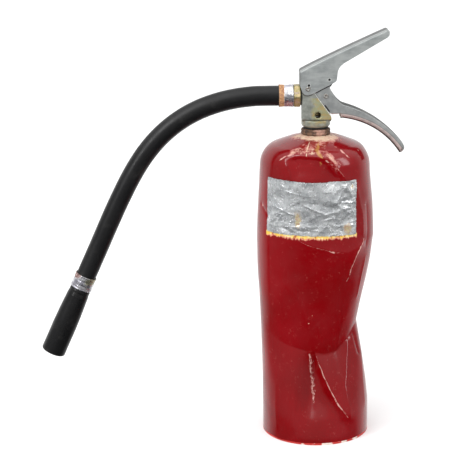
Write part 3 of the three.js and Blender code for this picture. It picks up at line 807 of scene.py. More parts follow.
def paint_wear(shell, angle, r, z):
    """Where powder and a painted highlight lie on the wall, and where its paint is streaked, chipped, scuffed
    and rubbed bare.
    """
    uneven = 0.5 + 0.5 * waves(angle, z * 1.5, 11, 26)
    collar = 0.82 * (1 - ease(r, 24, 48))
    shoulder = 0.52 * (1 - ease(r, 44, 62)) * np.exp(-((angle + 3) / 46) ** 4)
    powder_and_highlight = np.maximum(collar, shoulder) * (0.72 + 0.28 * hump(angle, 5, 90))
    above_lip, along_lip = from_line(angle, z, LIP)
    band = ease(above_lip, -1.5, 1.5) * (1 - ease(above_lip, 4, 11)) * ease(along_lip, 0.02, 0.12)
    band = 0.66 * band * (1 - ease(along_lip, 0.7, 0.9)) * (0.85 + 0.2 * uneven)
    # Painted highlight: the pale wall right of the lip, laid into the powder mask.
    highlight_beside_lip = 0.42 * near(angle, z, [(6, 352), (15, 346), (22, 338), (27, 329)], 7)
    run = 0.95 * near(angle, z, [(-16, 369), (-13.5, 355)], 1.6)
    for more in (band, highlight_beside_lip, run):
        powder_and_highlight = np.maximum(powder_and_highlight, more)
    paint(shell, "powder_and_highlight", np.clip(powder_and_highlight * (z > 300), 0, 1))
    streak = near(angle, z, [(2, 369), (-1, 362), (4, 355)], 5)
    streak += 0.3 * near(angle, z, [(13, 367), (17, 357)], 3.5)
    paint(shell, "streak", np.clip(streak, 0, 1) * np.exp(-(np.abs(angle) / 42) ** 4))
    chip = sum(strength * near(angle, z, line, width) for strength, width, line in CHIPS)
    paint(shell, "chip", np.clip(chip, 0, 1))
    paint(shell, "scuff", near(angle, z, [(-12, 109), (-10.5, 95), (-8.9, 80.5), (-7, 66), (-4.7, 50)], 10))
    # Chipped bare metal round the rim, and a lighter red band along its bottom edge that is a painted
    # highlight.
    rim = (1 - ease(z, 1.6, 4.0)) * (0.95 + 0.25 * waves(angle, z, 17, 20))
    rim *= 0.66 + 0.34 * ease(angle, -25, 5)
    paint(shell, "rim", np.clip(rim, 0, 1) * (r > RADIUS - 2.4))
    paint(shell, "wear_and_highlight", 0.16 * ease(angle, -16, 4) * (1 - ease(angle, 44, 56)))


def paint_look():
    look = Look("red_enamel", (0.2, 0.001, 0.006), 0.2)
    breakup, fine, tiny = look.noise(260, 6, 0.65), look.noise(900, 5, 0.65), look.noise(2600, 3, 0.6)
    red = look.mix(look.patches(0.35, 0.7, 14, 3, 0.5), (0.172, 0.0004, 0.0016), (0.212, 0.0008, 0.0034))
    # Fine pale scratches, mostly near vertical, and specks of bare primer.
    upright = look.noise(420, 5, 0.62, look.stretch((1, 1, 0.12)), 0.6)
    flecks = look.times(look.patches(0.56, 0.70, 150, 4, 0.6), look.ramp(fine, 0.52, 0.64))
    lines = look.times(look.ramp(upright, 0.68, 0.76), look.patches(0.46, 0.6, 26, 2))
    red = look.over(red, look.math("ADD", flecks, lines, clamp=True), 0.34, (0.50, 0.14, 0.12))
    # Powder, creamier and less broken the thicker it lies, and in its mask the painted highlight beside the
    # lip.
    laid = look.attribute("powder_and_highlight")
    blotch = look.plus(look.times(look.noise(75, 4, 0.6), 1.1), look.times(breakup, 0.9))
    blotch = look.plus(blotch, look.times(fine, 0.5))
    powder_and_highlight = look.ramp(look.plus(laid, look.times(blotch, 1.1)), 1.84, 2.10)
    powder_and_highlight = look.times(powder_and_highlight, look.ramp(laid, 0.05, 0.3))
    cream = look.mix(look.ramp(look.plus(laid, breakup), 1.00, 1.36), (0.52, 0.17, 0.15), (0.72, 0.57, 0.40))
    red = look.over(red, powder_and_highlight, 0.85, cream)
    streak = look.ramp(look.times(look.attribute("streak"), breakup), 0.16, 0.5)
    red = look.over(red, streak, 0.7, look.mix(fine, (0.32, 0.11, 0.02), (0.62, 0.36, 0.10)))
    grain = look.plus(look.times(fine, 0.7), look.times(tiny, 0.6))
    chip = look.ramp(look.times(look.attribute("chip"), grain), 0.26, 0.62)
    red = look.over(red, chip, 0.85, (0.74, 0.42, 0.36))
    drawn = look.noise(620, 5, 0.7, look.stretch((1, 1, 0.45)))
    scuff = look.ramp(look.times(look.attribute("scuff"), drawn), 0.44, 0.56)
    red = look.over(red, scuff, 0.75, (0.66, 0.36, 0.32))
    # The rim: bare metal where chipped, and a lighter red painted highlight elsewhere along its bottom edge.
    rim = look.ramp(look.plus(look.attribute("rim"), look.times(grain, 0.55)), 0.78, 1.0)
    bare = look.ramp(look.plus(look.noise(90, 4, 0.6), look.attribute("wear_and_highlight")), 0.61, 0.68)
    look.color(look.over(red, rim, 0.9, look.mix(bare, (0.62, 0.03, 0.02), (0.88, 0.78, 0.70))))
    dull = look.most(look.most(powder_and_highlight, scuff), look.most(rim, chip))
    look.set("Roughness", look.blend(dull, look.ramp(look.noise(40, 5), 0.3, 0.7, 0.11, 0.20), 0.55))
    look.bump(look.noise(120, 2), 0.25, 0.35)
    look.bump(look.plus(look.plus(chip, scuff), powder_and_highlight), 0.08, 0.6)
    return look


red_enamel = paint_look()
make_shell(red_enamel)


# ---------------------------------------------------------------- label
LABEL_LEFT, LABEL_RIGHT, LABEL_TOP_LEFT, LABEL_TOP_RIGHT, LABEL_HEIGHT = -60.0, 43.6, 327.8, 326.0, 66.0
LABEL_SPAN = LABEL_RIGHT - LABEL_LEFT
LABEL_THICKNESS = 0.15
TEAR_SEED = 7
STRIP_BELOW, STRIP_TUCKED, STRIP_OVERHANG = 7.0, 1.0, 2.0
# Sharp folds in the foil: how far each stands up, and its (share of width, share of height) points.
PLEATS = [
    (0.9, [(0.0, 0.47), (0.10, 0.50), (0.33, 0.37)]), (0.6, [(0.04, 0.30), (0.16, 0.40)]),
    (0.7, [(0.06, 0.20), (0.17, 0.38)]), (0.6, [(0.10, 0.12), (0.19, 0.36)]),
    (0.6, [(0.40, 0.13), (0.64, 0.08)]), (1.3, [(0.76, 0.62), (0.87, 0.92)]),
    (1.3, [(0.87, 0.92), (0.97, 0.62)]), (1.0, [(0.76, 0.62), (0.97, 0.60)]),
    (0.9, [(0.92, 0.56), (0.98, 0.34)]), (0.8, [(0.44, 0.56), (0.62, 0.43), (0.80, 0.30)]),
    (0.7, [(0.62, 0.10), (0.66, 0.20)]), (0.7, [(0.80, 0.98), (0.90, 0.80)]),
    (0.6, [(0.22, 0.80), (0.48, 0.74)]),
]
# Stains on the foil: strength, then middle and spread across and up, as shares of its width and height.
STAINS = [(1.0, 0.90, 0.07, 0.13, 0.12), (0.9, 0.36, 0.055, 0.30, 0.24), (0.7, 0.95, 0.05, 0.88, 0.08)]


def label_top(angle):
    return LABEL_TOP_LEFT + (LABEL_TOP_RIGHT - LABEL_TOP_LEFT) * (angle - LABEL_LEFT) / LABEL_SPAN


def crumple(u, v, seed, count, height):
    """Crisp random facets over the unit square: heights at random points, joined by flat triangles."""
    rng = np.random.default_rng(seed)
    knots = rng.uniform(-0.05, 1.05, (count, 2))
    corners = [(-0.2, -0.2), (1.2, -0.2), (1.2, 1.2), (-0.2, 1.2)]
    flat = [Vector(p) for p in corners] + [Vector(p) for p in knots.tolist()]
    knots, _, triangles = delaunay_2d_cdt(flat, [], [], 0, 1e-6)[:3]
    knots = np.array(knots)
    rough = 0.55 + 0.9 * ease(knots[:, 0], 0.62, 0.9) + 0.35 * (1 - ease(knots[:, 1], 0.15, 0.5))
    level = rng.uniform(-1, 1, len(knots)) * height * rough
    result = np.zeros(u.shape)
    for a, b, c in triangles:
        (ax, ay), (bx, by), (cx, cy) = knots[a], knots[b], knots[c]
        area = (bx - ax) * (cy - ay) - (cx - ax) * (by - ay)
        if abs(area) < 1e-9:
            continue
        wb = ((u - ax) * (cy - ay) - (cx - ax) * (v - ay)) / area
        wc = ((bx - ax) * (v - ay) - (u - ax) * (by - ay)) / area
        inside = (wb >= -1e-6) & (wc >= -1e-6) & (wb + wc <= 1 + 1e-6)
        result = np.where(inside, level[a] * (1 - wb - wc) + level[b] * wb + level[c] * wc, result)
    return result


def pleats(u, v):
    total = np.zeros(u.shape)
    for height, line in PLEATS:
        at = [(LABEL_LEFT + LABEL_SPAN * a, LABEL_HEIGHT * b) for a, b in line]
        distance, _ = from_line(LABEL_LEFT + LABEL_SPAN * u, LABEL_HEIGHT * v, at)
        total += height * np.exp(-np.abs(distance) / np.where(distance > 0, 2.6, 1.0))
    return total


def wrapped(name, look, columns, rows, edges, lift, **settings):
    """A closed thin sheet on the wall; edges(u, v) gives its angles and heights, lift(u, v) its lie."""
    u, v = np.meshgrid(np.linspace(0, 1, columns), np.linspace(0, 1, rows), indexing="ij")
    angle, z = edges(u, v)
    lie = lift(u, v)
    front, back = on_wall(angle, z, lie + LABEL_THICKNESS), on_wall(angle, z, lie)
    points = np.concatenate([front.reshape(-1, 3), back.reshape(-1, 3)])
    size = columns * rows
    faces = grid(columns, rows, across=False, up=False)
    faces += [[size + corner for corner in reversed(face)] for face in faces]
    border = [i * rows for i in range(columns)] + [(columns - 1) * rows + k for k in range(1, rows)]
    border += [i * rows + rows - 1 for i in range(columns - 2, -1, -1)] + list(range(rows - 2, 0, -1))
    faces += [(a, size + a, size + b, b) for a, b in zip(border, border[1:] + border[:1])]
    made = piece(name, points, faces, look, sharp=28, **settings)
    return made, np.tile(u.ravel(), 2), np.tile(v.ravel(), 2)


def foil_look():
    look = Look("crumpled_foil", (0.6, 0.62, 0.64), 0.28, metallic=0.75)
    silver = look.mix(look.patches(0.3, 0.7, 90, 5, 0.65), (0.56, 0.58, 0.60), (0.86, 0.88, 0.89))
    # Painted shade: dark lines along the cell edges for the foil's fine creases.
    edge = look.ramp(look.cells(260, "DISTANCE_TO_EDGE"), 0.0, 0.07)
    silver = look.over(silver, look.math("SUBTRACT", 1.0, edge), 0.35, (0.20, 0.21, 0.22))
    stain = look.ramp(look.times(look.attribute("stain"), look.noise(330, 5, 0.7)), 0.25, 0.46)
    brown = look.mix(look.patches(0.42, 0.58, 500, 3), (0.34, 0.14, 0.04), (0.46, 0.38, 0.14))
    look.color(look.over(silver, stain, 0.8, brown))
    look.set("Metallic", look.blend(stain, 0.75, 0.25))
    look.roughness(200, 4, 0.20, 0.38)
    look.bump(edge, 0.35, 0.5)
    look.bump(look.noise(420, 5, 0.6), 0.35, 0.55)
    look.bump(look.cells(110), 1.2, 0.4)
    return look


def strip_look():
    look = Look("old_label_paper", (0.80, 0.58, 0.12), 0.6)
    patch = look.noise(85, 3, 0.6, look.stretch((1, 1, 0.5)))
    warm = look.mix(look.patches(0.42, 0.6, 240, 4), (0.80, 0.52, 0.06), (0.80, 0.66, 0.30))
    low = look.plus(look.times(look.attribute("low"), 0.55), look.times(patch, 1.5))
    low = look.ramp(look.plus(low, look.times(look.noise(420, 4), 0.35)), 1.12, 1.3)
    warm = look.over(warm, low, 0.9, (0.66, 0.22, 0.15))
    bare = look.patches(0.56, 0.63, 210, 5, 0.65, look.stretch((1, 1, 0.6)))
    look.color(look.over(warm, bare, 0.85, (0.30, 0.012, 0.012)))
    look.bump(look.noise(600, 4), 0.2, 0.6)
    return look


def make_label():
    rng = np.random.default_rng(TEAR_SEED)
    knots = np.linspace(0, 1, 60)
    left_tear, right_tear, top_tear, low_tear = rng.uniform(-1, 1, (4, len(knots)))

    def edges(u, v):
        left = LABEL_LEFT + 0.35 * np.interp(v, knots, left_tear)
        right = LABEL_RIGHT + 0.45 * np.interp(v, knots, right_tear)
        angle = left + (right - left) * u
        top = label_top(angle) + 0.35 * np.interp(u, knots, top_tear) - 1.2 * hump(u, 0.52, 0.30)
        bottom = label_top(angle) - LABEL_HEIGHT + 0.45 * np.interp(u, knots, low_tear)
        return angle, bottom + (top - bottom) * v

    def lie(u, v):
        border = np.minimum(np.minimum(u, 1 - u) * 1.7, np.minimum(v, 1 - v))
        held = 0.35 + 0.65 * ease(border, 0, 0.10)
        folds = crumple(u, v, 21, 80, 0.95) + crumple(u, v, 22, 480, 0.30) + pleats(u, v)
        return np.maximum(0.3, 1.0 + held * folds)

    foil, u, v = wrapped("label_foil", foil_look(), 230, 150, edges, lie, slot="foil", replaces="label_plate")
    spots = 0.25 * hump(v, 0, 0.05) + sum(strength * hump(u, across, width) * hump(v, up, height)
                                          for strength, across, width, up, height in STAINS)
    paint(foil, "stain", np.clip(spots, 0, 1) * 1.1)

    along = np.linspace(0, 1, 400)
    ragged = 0.55 * np.interp(along, knots, low_tear)
    ragged += 1.1 * np.interp(along, np.linspace(0, 1, 130), rng.uniform(-1, 1, 130))

    def strip_edges(u, v):
        angle = LABEL_LEFT - STRIP_OVERHANG + (LABEL_SPAN + 2 * STRIP_OVERHANG) * u
        low = STRIP_BELOW * (0.72 + 0.22 * np.interp(u, along, ragged)) * (1 - 0.25 * u)
        return angle, label_top(angle) - LABEL_HEIGHT - low + (low + STRIP_TUCKED) * v

    strip, _, v = wrapped("label_strip", strip_look(), 260, 10, strip_edges, lambda u, v: 0.12 + 0 * u,
                          slot="old_label", replaces="label_backing")
    paint(strip, "low", 1 - ease(v, 0.0, 0.55))


make_label()


# ---------------------------------------------------------------- cylinder's other parts
def rust_look():
    look = Look("rusty_ring", (0.12, 0.07, 0.045), 0.8, metallic=0.1)
    dark = look.mix(look.patches(0.35, 0.65, 300, 5, 0.7), (0.045, 0.028, 0.022), (0.19, 0.10, 0.055))
    dust = look.ramp(look.times(look.noise(160, 5, 0.65), look.attribute("dust")), 0.34, 0.56)
    look.color(look.over(dark, dust, 0.65, (0.58, 0.33, 0.26)))
    look.roughness(400, 3, 0.55, 0.95)
    look.bump(look.noise(700, 6, 0.7), 0.5, 0.9)
    return look


def lumpy(angle, r, z):
    """A wobble for the neck ring: uneven radius, from smooth random waves."""
    return r + 0.10 * waves(np.degrees(angle), z, 31, 13, 14) * (r > 1), z


def plain_rubber(name):
    return rubber_look(name, (0.022, 0.021, 0.020), 0.6, 1200)


turned("base_dish", [
    (0, 25.6, 0), (27, 24, 30), (54.2, 17.4, 8), (60.6, 13, 2.5), (60.6, 2, 0.4), (62.2, 2, 0.4),
    (62.2, 14, 3), (54.2, 19, 9), (27, 25.6, 30), (0, 27.2, 0),
], red_enamel, facets=160, slot="red_paint", replaces="base_end", sharp=40)
flange = turned("neck_flange", [
    (12.6, 361, 0.5), (15.4, 361, 0.5), (15.4, 372.5, 0), (17.1, 372.5, 0.5), (17.6, 374.2, 0.8),
    (17.0, 376.3, 0.4), (17.5, 377.4, 0.6), (16.9, 379.2, 0.9), (12.6, 379.2, 0.5),
], rust_look(), facets=160, wobble=lumpy, slot="rusty_steel", replaces="neck_ring", sharp=50)
flange_x, flange_y, _ = vertices_of(flange).T
paint(flange, "dust", 0.25 + 0.9 * hump(np.degrees(np.arctan2(flange_x, -flange_y)), 14, 32))
turned("neck_seal", [
    (12.5, 379.5, 0.3), (14.1, 379.5, 0.5), (14.5, 380.3, 0.5), (14.1, 381.1, 0.5), (12.5, 381.1, 0.3),
], plain_rubber("seal_rubber_look"), slot="seal_rubber", replaces="neck_o_ring")


# ---------------------------------------------------------------- valve
PIVOT_X, PIVOT_Z, PIVOT_BORE = -9.9, 428.3, 2.5
RIVET_X, RIVET_Z, RIVET_BORE = 11.3, 419.4, 2.3
PULL_X, PULL_Z, PULL_BORE = 15.3, 439.0, 1.3
EYELET_X, EYELET_Z, EYELET_BORE = -8.9, 432.6, 1.25
PORT_X, PORT_Z = 2.1, 396.2
BLOCK_LEFT, BLOCK_RIGHT, BLOCK_HALF, CORE_HALF = -17.0, 18.3, 12.0, 10.4
OUTLET_FACE = (BLOCK_LEFT, 0, OUTLET_Z)
COLLAR_LOW, COLLAR_HIGH = 381.4, 390.0
# The cheek's slanted shoulder starts here and runs this far up to the left.
SHOULDER_X, SHOULDER_Z, SHOULDER_RUN, SHOULDER_RISE = 17.6, 395.8, 20.0, 27.8


def zinc_look():
    look = Look("cast_zinc", (0.4, 0.42, 0.38), 0.42, metallic=0.6)
    grey = look.mix(look.patches(0.3, 0.7, 130, 5, 0.6), (0.24, 0.26, 0.23), (0.44, 0.46, 0.42))
    tarnish = look.ramp(look.times(look.attribute("tarnish"), look.noise(240, 5, 0.65)), 0.16, 0.46)
    hue = look.mix(look.patches(0.45, 0.62, 200, 3), (0.27, 0.27, 0.12), (0.36, 0.25, 0.05))
    grey = look.over(grey, tarnish, 0.75, hue)
    # A painted highlight, near white, along the slanted shoulder's edge.
    grey = look.mix(look.ramp(look.attribute("wear_and_highlight"), 0.2, 0.8), grey, (0.86, 0.87, 0.85))
    # Painted shadow: a dark line round the lever's heel, below its pin.
    heel_shadow = look.times(look.stripe(PIVOT_X, PIVOT_Z, 0, -1, 3, 12), look.disc(PIVOT_X, PIVOT_Z, 8.7, 9.4))
    # Painted shade in the casting's gaps and port, with the painted shadow below the lever's heel.
    painted_shade = look.most(look.ramp(look.attribute("painted_shade"), 0.1, 0.9), heel_shadow)
    look.color(look.over(grey, painted_shade, 0.8, (0.05, 0.045, 0.035)))
    look.set("Metallic", look.blend(look.most(tarnish, painted_shade), 0.6, 0.25))
    look.roughness(420, 4, 0.34, 0.56)
    look.bump(look.noise(1300, 4, 0.6), 0.10, 0.6)
    return look


def cross_bar(x, z, radius, start=-22, end=22):
    return lathe([(0, 0, 0), (radius, 0, 0), (radius, end - start, 0), (0, end - start, 0)],
                 (x, start, z), (0, 1, 0), 40)


def make_valve():
    cheek = traced((BLOCK_LEFT, 390.7), [
        ("to", BLOCK_RIGHT - 0.3, 390.7, 0.5), ("to", BLOCK_RIGHT, 391.5, 0.5),
        ("to", SHOULDER_X, SHOULDER_Z, 0.5),
        ("to", SHOULDER_X - SHOULDER_RUN, SHOULDER_Z + SHOULDER_RISE, 0.45),
        ("to", BLOCK_LEFT, 423.6, 0.5), ("to", BLOCK_LEFT, 390.7, 2.6),
    ])
    core = traced((BLOCK_LEFT, 388.8), [
        ("to", 17.5, 388.8, 0.5), ("to", BLOCK_RIGHT, 391.5, 0.5), ("to", SHOULDER_X, SHOULDER_Z, 0.5),
        ("to", 15.5, 398.8, 0.5), ("to", 15.5, 430, 0.5), ("to", 11, 441, 0.8), ("to", -13, 441, 0.8),
        ("to", BLOCK_LEFT, 431.5, 1.2), ("to", BLOCK_LEFT, 388.8, 1.2),
    ])
    collar = lathe([(0, COLLAR_LOW, 0), (15.0, COLLAR_LOW, 0.6), (16.9, 383.3, 0.8), (17.2, 384.1, 0.6),
                    (17.2, 389.2, 0.6), (16.4, COLLAR_HIGH, 0.4), (0, COLLAR_HIGH, 0)], facets=96)
    spigot = lathe([(0, 362, 0), (12.2, 362, 0.8), (12.2, 384, 0), (0, 384, 0)], facets=72)
    solids = [rounded_plate(cheek, BLOCK_HALF), collar, spigot]
    body = combined(rounded_plate(core, CORE_HALF), solids, "UNION")
    passages = lathe([(0, 361, 0), (7.5, 361, 0), (7.5, 402, 0), (5, 402, 0), (5, 430, 0), (7, 430, 0),
                      (7, 442, 0), (0, 442, 0)], facets=48)
    outlet = lathe([(0, -1, 0), (8, -1, 0), (8, 4.3, 0), (4.8, 4.3, 0), (4.8, 17, 0), (0, 17, 0)],
                   OUTLET_FACE, (1, 0, 0), 48)
    port = lathe([(0, -1, 0), (5.2, -1, 0), (4.2, 0.9, 0.3), (3.3, 1.5, 0.3), (3.3, 8, 0), (0, 8, 0)],
                 (PORT_X, -BLOCK_HALF, PORT_Z), (0, 1, 0), 48)
    pivot, rivet = cross_bar(PIVOT_X, PIVOT_Z, PIVOT_BORE), cross_bar(RIVET_X, RIVET_Z, RIVET_BORE)
    body = combined(body, [passages, outlet, port, pivot, rivet], "DIFFERENCE")
    made = finished("valve_casting", remeshed(body, 0.4, 2), zinc_look(), slot="zinc_alloy",
                    replaces="valve_body", sharp=60)
    x, y, z = vertices_of(made).T
    # How far out from the slanted shoulder, where the tarnish gathers and a painted highlight runs bright
    # along the edge.
    out = (x - SHOULDER_X) * SHOULDER_RISE + (z - SHOULDER_Z) * SHOULDER_RUN
    out = out / math.hypot(SHOULDER_RISE, SHOULDER_RUN)
    tarnish = hump(out, -4, 5.5) * (z > 391) * (z < 417)
    tarnish += 0.9 * hump(np.hypot(x - PORT_X, z - PORT_Z - 2), 5, 5) + 0.5 * (z < 391)
    paint(made, "tarnish", np.clip(tarnish, 0, 1))
    paint(made, "wear_and_highlight", hump(out, -0.1, 0.5) * (z > 395) * (z < 424.5))
    # Painted shade inside the port, in the groove above the collar and under the collar's foot.
    in_port = (np.hypot(x - PORT_X, z - PORT_Z) < 3.6) * (y < -7) * (y > -12.4)
    painted_shade = hump(z, COLLAR_HIGH + 0.3, 0.55) + in_port + 1 - ease(z, COLLAR_LOW + 0.1, COLLAR_LOW + 1.2)
    paint(made, "painted_shade", np.clip(painted_shade, 0, 1))


def brass_look():
    fresh, old = (0.50, 0.40, 0.20), (0.275, 0.22, 0.11)
    look = Look("dull_brass", fresh, 0.42, metallic=0.8)
    warm = look.mix(look.patches(0.35, 0.65, 220, 5, 0.6), fresh, old)
    look.color(look.over(warm, look.patches(0.58, 0.72, 500, 4), 0.6, (0.10, 0.07, 0.04)))
    look.roughness(350, 4, 0.3, 0.55)
    look.bump(look.noise(1500, 3), 0.05, 0.6)
    return look


make_valve()
brass = brass_look()
turned("stem_rod", [
    (0, 388, 0), (2.0, 388, 0.3), (2.5, 389, 0.3), (2.5, 395.4, 0), (6, 395.4, 0.4), (6, 398.4, 0.4),
    (2.5, 398.4, 0), (2.5, 455.1, 0.8), (1.4, 456.3, 0.5), (0, 456.3, 0),
], brass, facets=48, body="stem", slot="brass", replaces="valve_stem", sharp=35)
turned("gland_nut", [
    (2.8, 430.3, 0), (6.7, 430.3, 0.3), (6.7, 441.3, 0), (8.9, 441.3, 0.4), (8.9, 444.5, 0.8),
    (4, 444.5, 0.5), (2.8, 443.9, 0.3), (2.8, 437, 0), (4.7, 437, 0.2), (4.7, 434, 0.2), (2.8, 434, 0),
], brass, facets=72, slot="brass", replaces="stem_gland", sharp=35)


# ---------------------------------------------------------------- lever, handle and their pins
SHEET = 1.5
LEVER_HALF, HANDLE_HALF = 14.0, 12.2
LEVER_BACK, LEVER_BACK_LOW = -19.6, 432.0
EDGE = 0.35                                    # how far a cut edge of sheet is rounded off
LEVER_BEND, LEVER_INNER = 2.2, 0.8
HANDLE_BEND, HANDLE_INNER = 4.0, 2.5
# The handle's arcs: centre x and z, radius, and the angles they run between, in degrees.
HANDLE_LOWER = (20.2, 299.1, 94.0, 84.9, 32.8)
HANDLE_UPPER = (-5, 276.2, 137.2, 36.9, 74)


def satin_look(name, light, dark, grain_axis, holes, banded=False):
    look = Look(name, light, 0.36, metallic=0.72)
    brush = look.noise(260, 6, 0.7, look.stretch(grain_axis))
    cloud = look.plus(look.times(brush, 0.5), look.times(look.noise(55, 5, 0.6), 0.5))
    grey = look.mix(look.ramp(cloud, 0.36, 0.64), dark, light)
    grey = look.over(grey, look.patches(0.66, 0.74, 380, 5, 0.6), 0.5, (0.20, 0.19, 0.17))
    # Painted shade: the far half of the lever's top, seen from above, is painted near-black for the dark
    # reflection there.
    across = look.vector("DOT_PRODUCT", look.place, (0, 1, 0), output=1)
    far_half = look.ramp(across, -9 * MM, -3 * MM, 0.25, 1.0)
    web_shade = look.times(look.ramp(look.attribute("web_shade"), 0.15, 0.75), far_half)
    grey = look.over(grey, web_shade, 0.92, (0.055, 0.058, 0.055))
    # Painted shade on the near bends, to dim their highlight.
    grey = look.over(grey, look.attribute("bend"), 0.55, (0.12, 0.125, 0.12))
    if banded:
        # Painted light along the handle's lower edge, where it bends under: a pinkish band of painted
        # reflection and two dark lines of painted shade.
        x, z, radius = HANDLE_LOWER[:3]
        uneven = look.ramp(look.noise(180, 5), 0.35, 0.6, 0.6, 1.0)
        painted_light_bands = [(5.9, 6.5, 0.5, (0.16, 0.15, 0.15)), (5.2, 5.8, uneven, (0.86, 0.68, 0.64)),
                 (1.5, 2.3, 0.92, (0.030, 0.026, 0.026))]
        for inner, outer, strength, color in painted_light_bands:
            grey = look.over(grey, look.disc(x, z, radius + inner, radius + outer), strength, color)
        # Painted shadow on the handle's cheek, below the lever's edge and along the valve's slanted shoulder.
        upper = look.times(look.stripe(-1.8, 423.5, 0.451, -0.893, -4, 1.1),
                           look.stripe(12, 430, -0.893, -0.451, -14, 14))
        lower = look.times(look.stripe(-2, 424, 0.812, 0.583, -1, 1.4),
                           look.stripe(12, 404, 0.583, -0.812, -4.5, 5))
        grey = look.over(grey, look.most(upper, lower), 0.9, (0.02, 0.019, 0.017))
    # At each hole, a pale ring of painted highlight round its edge and a near-black disc of painted shade
    # inside it.
    for x, z in holes:
        grey = look.over(grey, look.disc(x, z, 2.0, 2.5), 0.7, (0.80, 0.82, 0.80))
        grey = look.mix(look.disc(x, z, 1.25, 1.6), grey, (0.012, 0.012, 0.011))
    look.color(grey)
    look.set("Roughness", look.ramp(brush, 0.3, 0.7, 0.30, 0.46))
    look.bump(brush, 0.03, 0.6)
    look.bump(look.noise(90, 3), 0.4, 0.25)
    return look


def channel(outline, hollow, half_width, drills):
    """A sheet bent into a channel: a rounded outline, hollowed between its cheeks and drilled."""
    return combined(rounded_plate(outline, half_width), [rounded_plate(hollow, half_width - SHEET), *drills],
                    "DIFFERENCE")


def make_lever():
    outline = traced((LEVER_BACK, LEVER_BACK_LOW), [
        ("to", LEVER_BACK, 446.8, LEVER_BEND), ("curve", LEVER_BACK, 448.9, -17.7, 449.9, LEVER_BEND),
        ("curve", 6.9, 463.2, 81.2, 496, LEVER_BEND), ("curve", 85.6, 497.6, 85.9, 492.6, LEVER_BEND),
        ("curve", 85.6, 489.4, 82, 487.2, EDGE), ("to", 33, 458.6, EDGE),
        ("curve", 25.4, 453.6, 25, 446.5, EDGE), ("to", 24.2, 439.5, EDGE),
        ("curve", 24, 437.5, 21.8, 436, EDGE), ("to", 17.8, 433.4, EDGE),
        ("to", -1.8, 423.5, EDGE), ("curve", -7.5, 420.2, -11.5, 420.6, EDGE),
        ("curve", -16, 421.5, -17.6, 427, EDGE), ("to", LEVER_BACK, LEVER_BACK_LOW, EDGE),
    ])
    inside_back = LEVER_BACK + SHEET
    hollow = traced((LEVER_BACK - 5, LEVER_BACK_LOW), [
        ("to", LEVER_BACK - 5, 400, 0), ("to", 100, 400, 0), ("to", 84.4, 480, 0),
        ("to", 84.4, 492.2, LEVER_INNER), ("curve", 84.2, 495.6, 81.7, 494.6, LEVER_INNER),
        ("curve", 7.5, 461.8, -17, 448.5, LEVER_INNER),
        ("curve", inside_back, 447.9, inside_back, 446.4, LEVER_INNER),
        ("to", inside_back, LEVER_BACK_LOW, LEVER_INNER), ("to", LEVER_BACK - 5, LEVER_BACK_LOW, 0),
    ])
    drills = [cross_bar(PIVOT_X, PIVOT_Z, PIVOT_BORE), cross_bar(PULL_X, PULL_Z, PULL_BORE),
              cross_bar(EYELET_X, EYELET_Z, EYELET_BORE, -LEVER_HALF - 5, -LEVER_HALF + 1)]
    look = satin_look("satin_steel_lever", (0.60, 0.63, 0.62), (0.40, 0.43, 0.43), (0.16, 1, 1),
                      [(PULL_X, PULL_Z), (EYELET_X, EYELET_Z)])
    made = as_piece("lever_channel", channel(outline, hollow, LEVER_HALF, drills), look, body="lever",
                    slot="sheet_steel", replaces="squeeze_lever")
    reach = np.abs(vertices_of(made)[:, 1])
    # Where painted shade darkens the lever's top.
    paint(made, "web_shade", (reach < LEVER_HALF - SHEET) * 1.0)
    # Where painted shade dims the highlight on the bends.
    paint(made, "bend", (reach > LEVER_HALF - LEVER_BEND) * (reach < LEVER_HALF - 0.08) * 1.0)


def make_handle():
    outline = traced((-2, 424), [
        ("to", 14.6, 400.9, EDGE), ("curve", 17, 397.4, 19.4, 397.4, EDGE), ("to", 28.6, 398.2, EDGE),
        ("arc", *HANDLE_LOWER, HANDLE_BEND), ("curve", 103.6, 350.6, 105.2, 355.6, 2.0),
        ("arc", *HANDLE_UPPER, EDGE), ("curve", 23.5, 412, 15.6, 429, EDGE), ("to", 18.6, 433, EDGE),
        ("to", 18.2, 443.4, EDGE), ("to", 10, 444.5, EDGE), ("to", -2, 434, EDGE), ("to", -2, 424, EDGE),
    ])
    x, z, radius, first, last = HANDLE_LOWER
    hollow = traced((-10, 470), [
        ("to", -10, 380, 0), ("to", 28.8, 380, 0),
        ("arc", x, z, radius + SHEET, first, last + 1.15, HANDLE_INNER),
        ("to", 103.5, 357.4, 0), ("to", 120, 380, 0), ("to", 120, 470, 0), ("to", -10, 470, 0),
    ])
    drills = [cross_bar(RIVET_X, RIVET_Z, RIVET_BORE), cross_bar(PULL_X, PULL_Z, PULL_BORE)]
    look = satin_look("satin_steel_handle", (0.58, 0.60, 0.59), (0.38, 0.40, 0.40), (0.3, 1, 0.3),
                      [(PULL_X, PULL_Z)], banded=True)
    as_piece("handle_channel", channel(outline, hollow, HANDLE_HALF, drills), look, slot="sheet_steel",
             replaces="carrying_handle")


def pin_look():
    look = Look("worn_pin", (0.5, 0.51, 0.50), 0.4, metallic=0.85)
    look.color(look.mix(look.patches(0.4, 0.65, 500, 5), (0.55, 0.56, 0.54), (0.22, 0.17, 0.13)))
    look.roughness(700, 4, 0.3, 0.55)
    look.bump(look.noise(900, 4), 0.06, 0.6)
    return look


def headed_pin(name, node, look, x, z, radius, head, height, face):
    """A shaft through both cheeks with a domed, dimpled head at each end."""
    inner, outer = face + 0.3, face + 0.3 + height
    half = [(0, outer - 0.5, 0), (head * 0.35, outer - 0.45, 0.2), (head * 0.5, outer, 0.3),
            (head * 0.85, outer - 0.15, 0.4), (head, inner + 0.25, 0.2), (head, inner, 0.1),
            (radius, inner, 0)]
    profile = half + [(r, -y, fillet) for r, y, fillet in reversed(half)]
    turned(name, profile, look, (x, 0, z), (0, 1, 0), 56, slot="pin_steel", replaces=node, sharp=45)


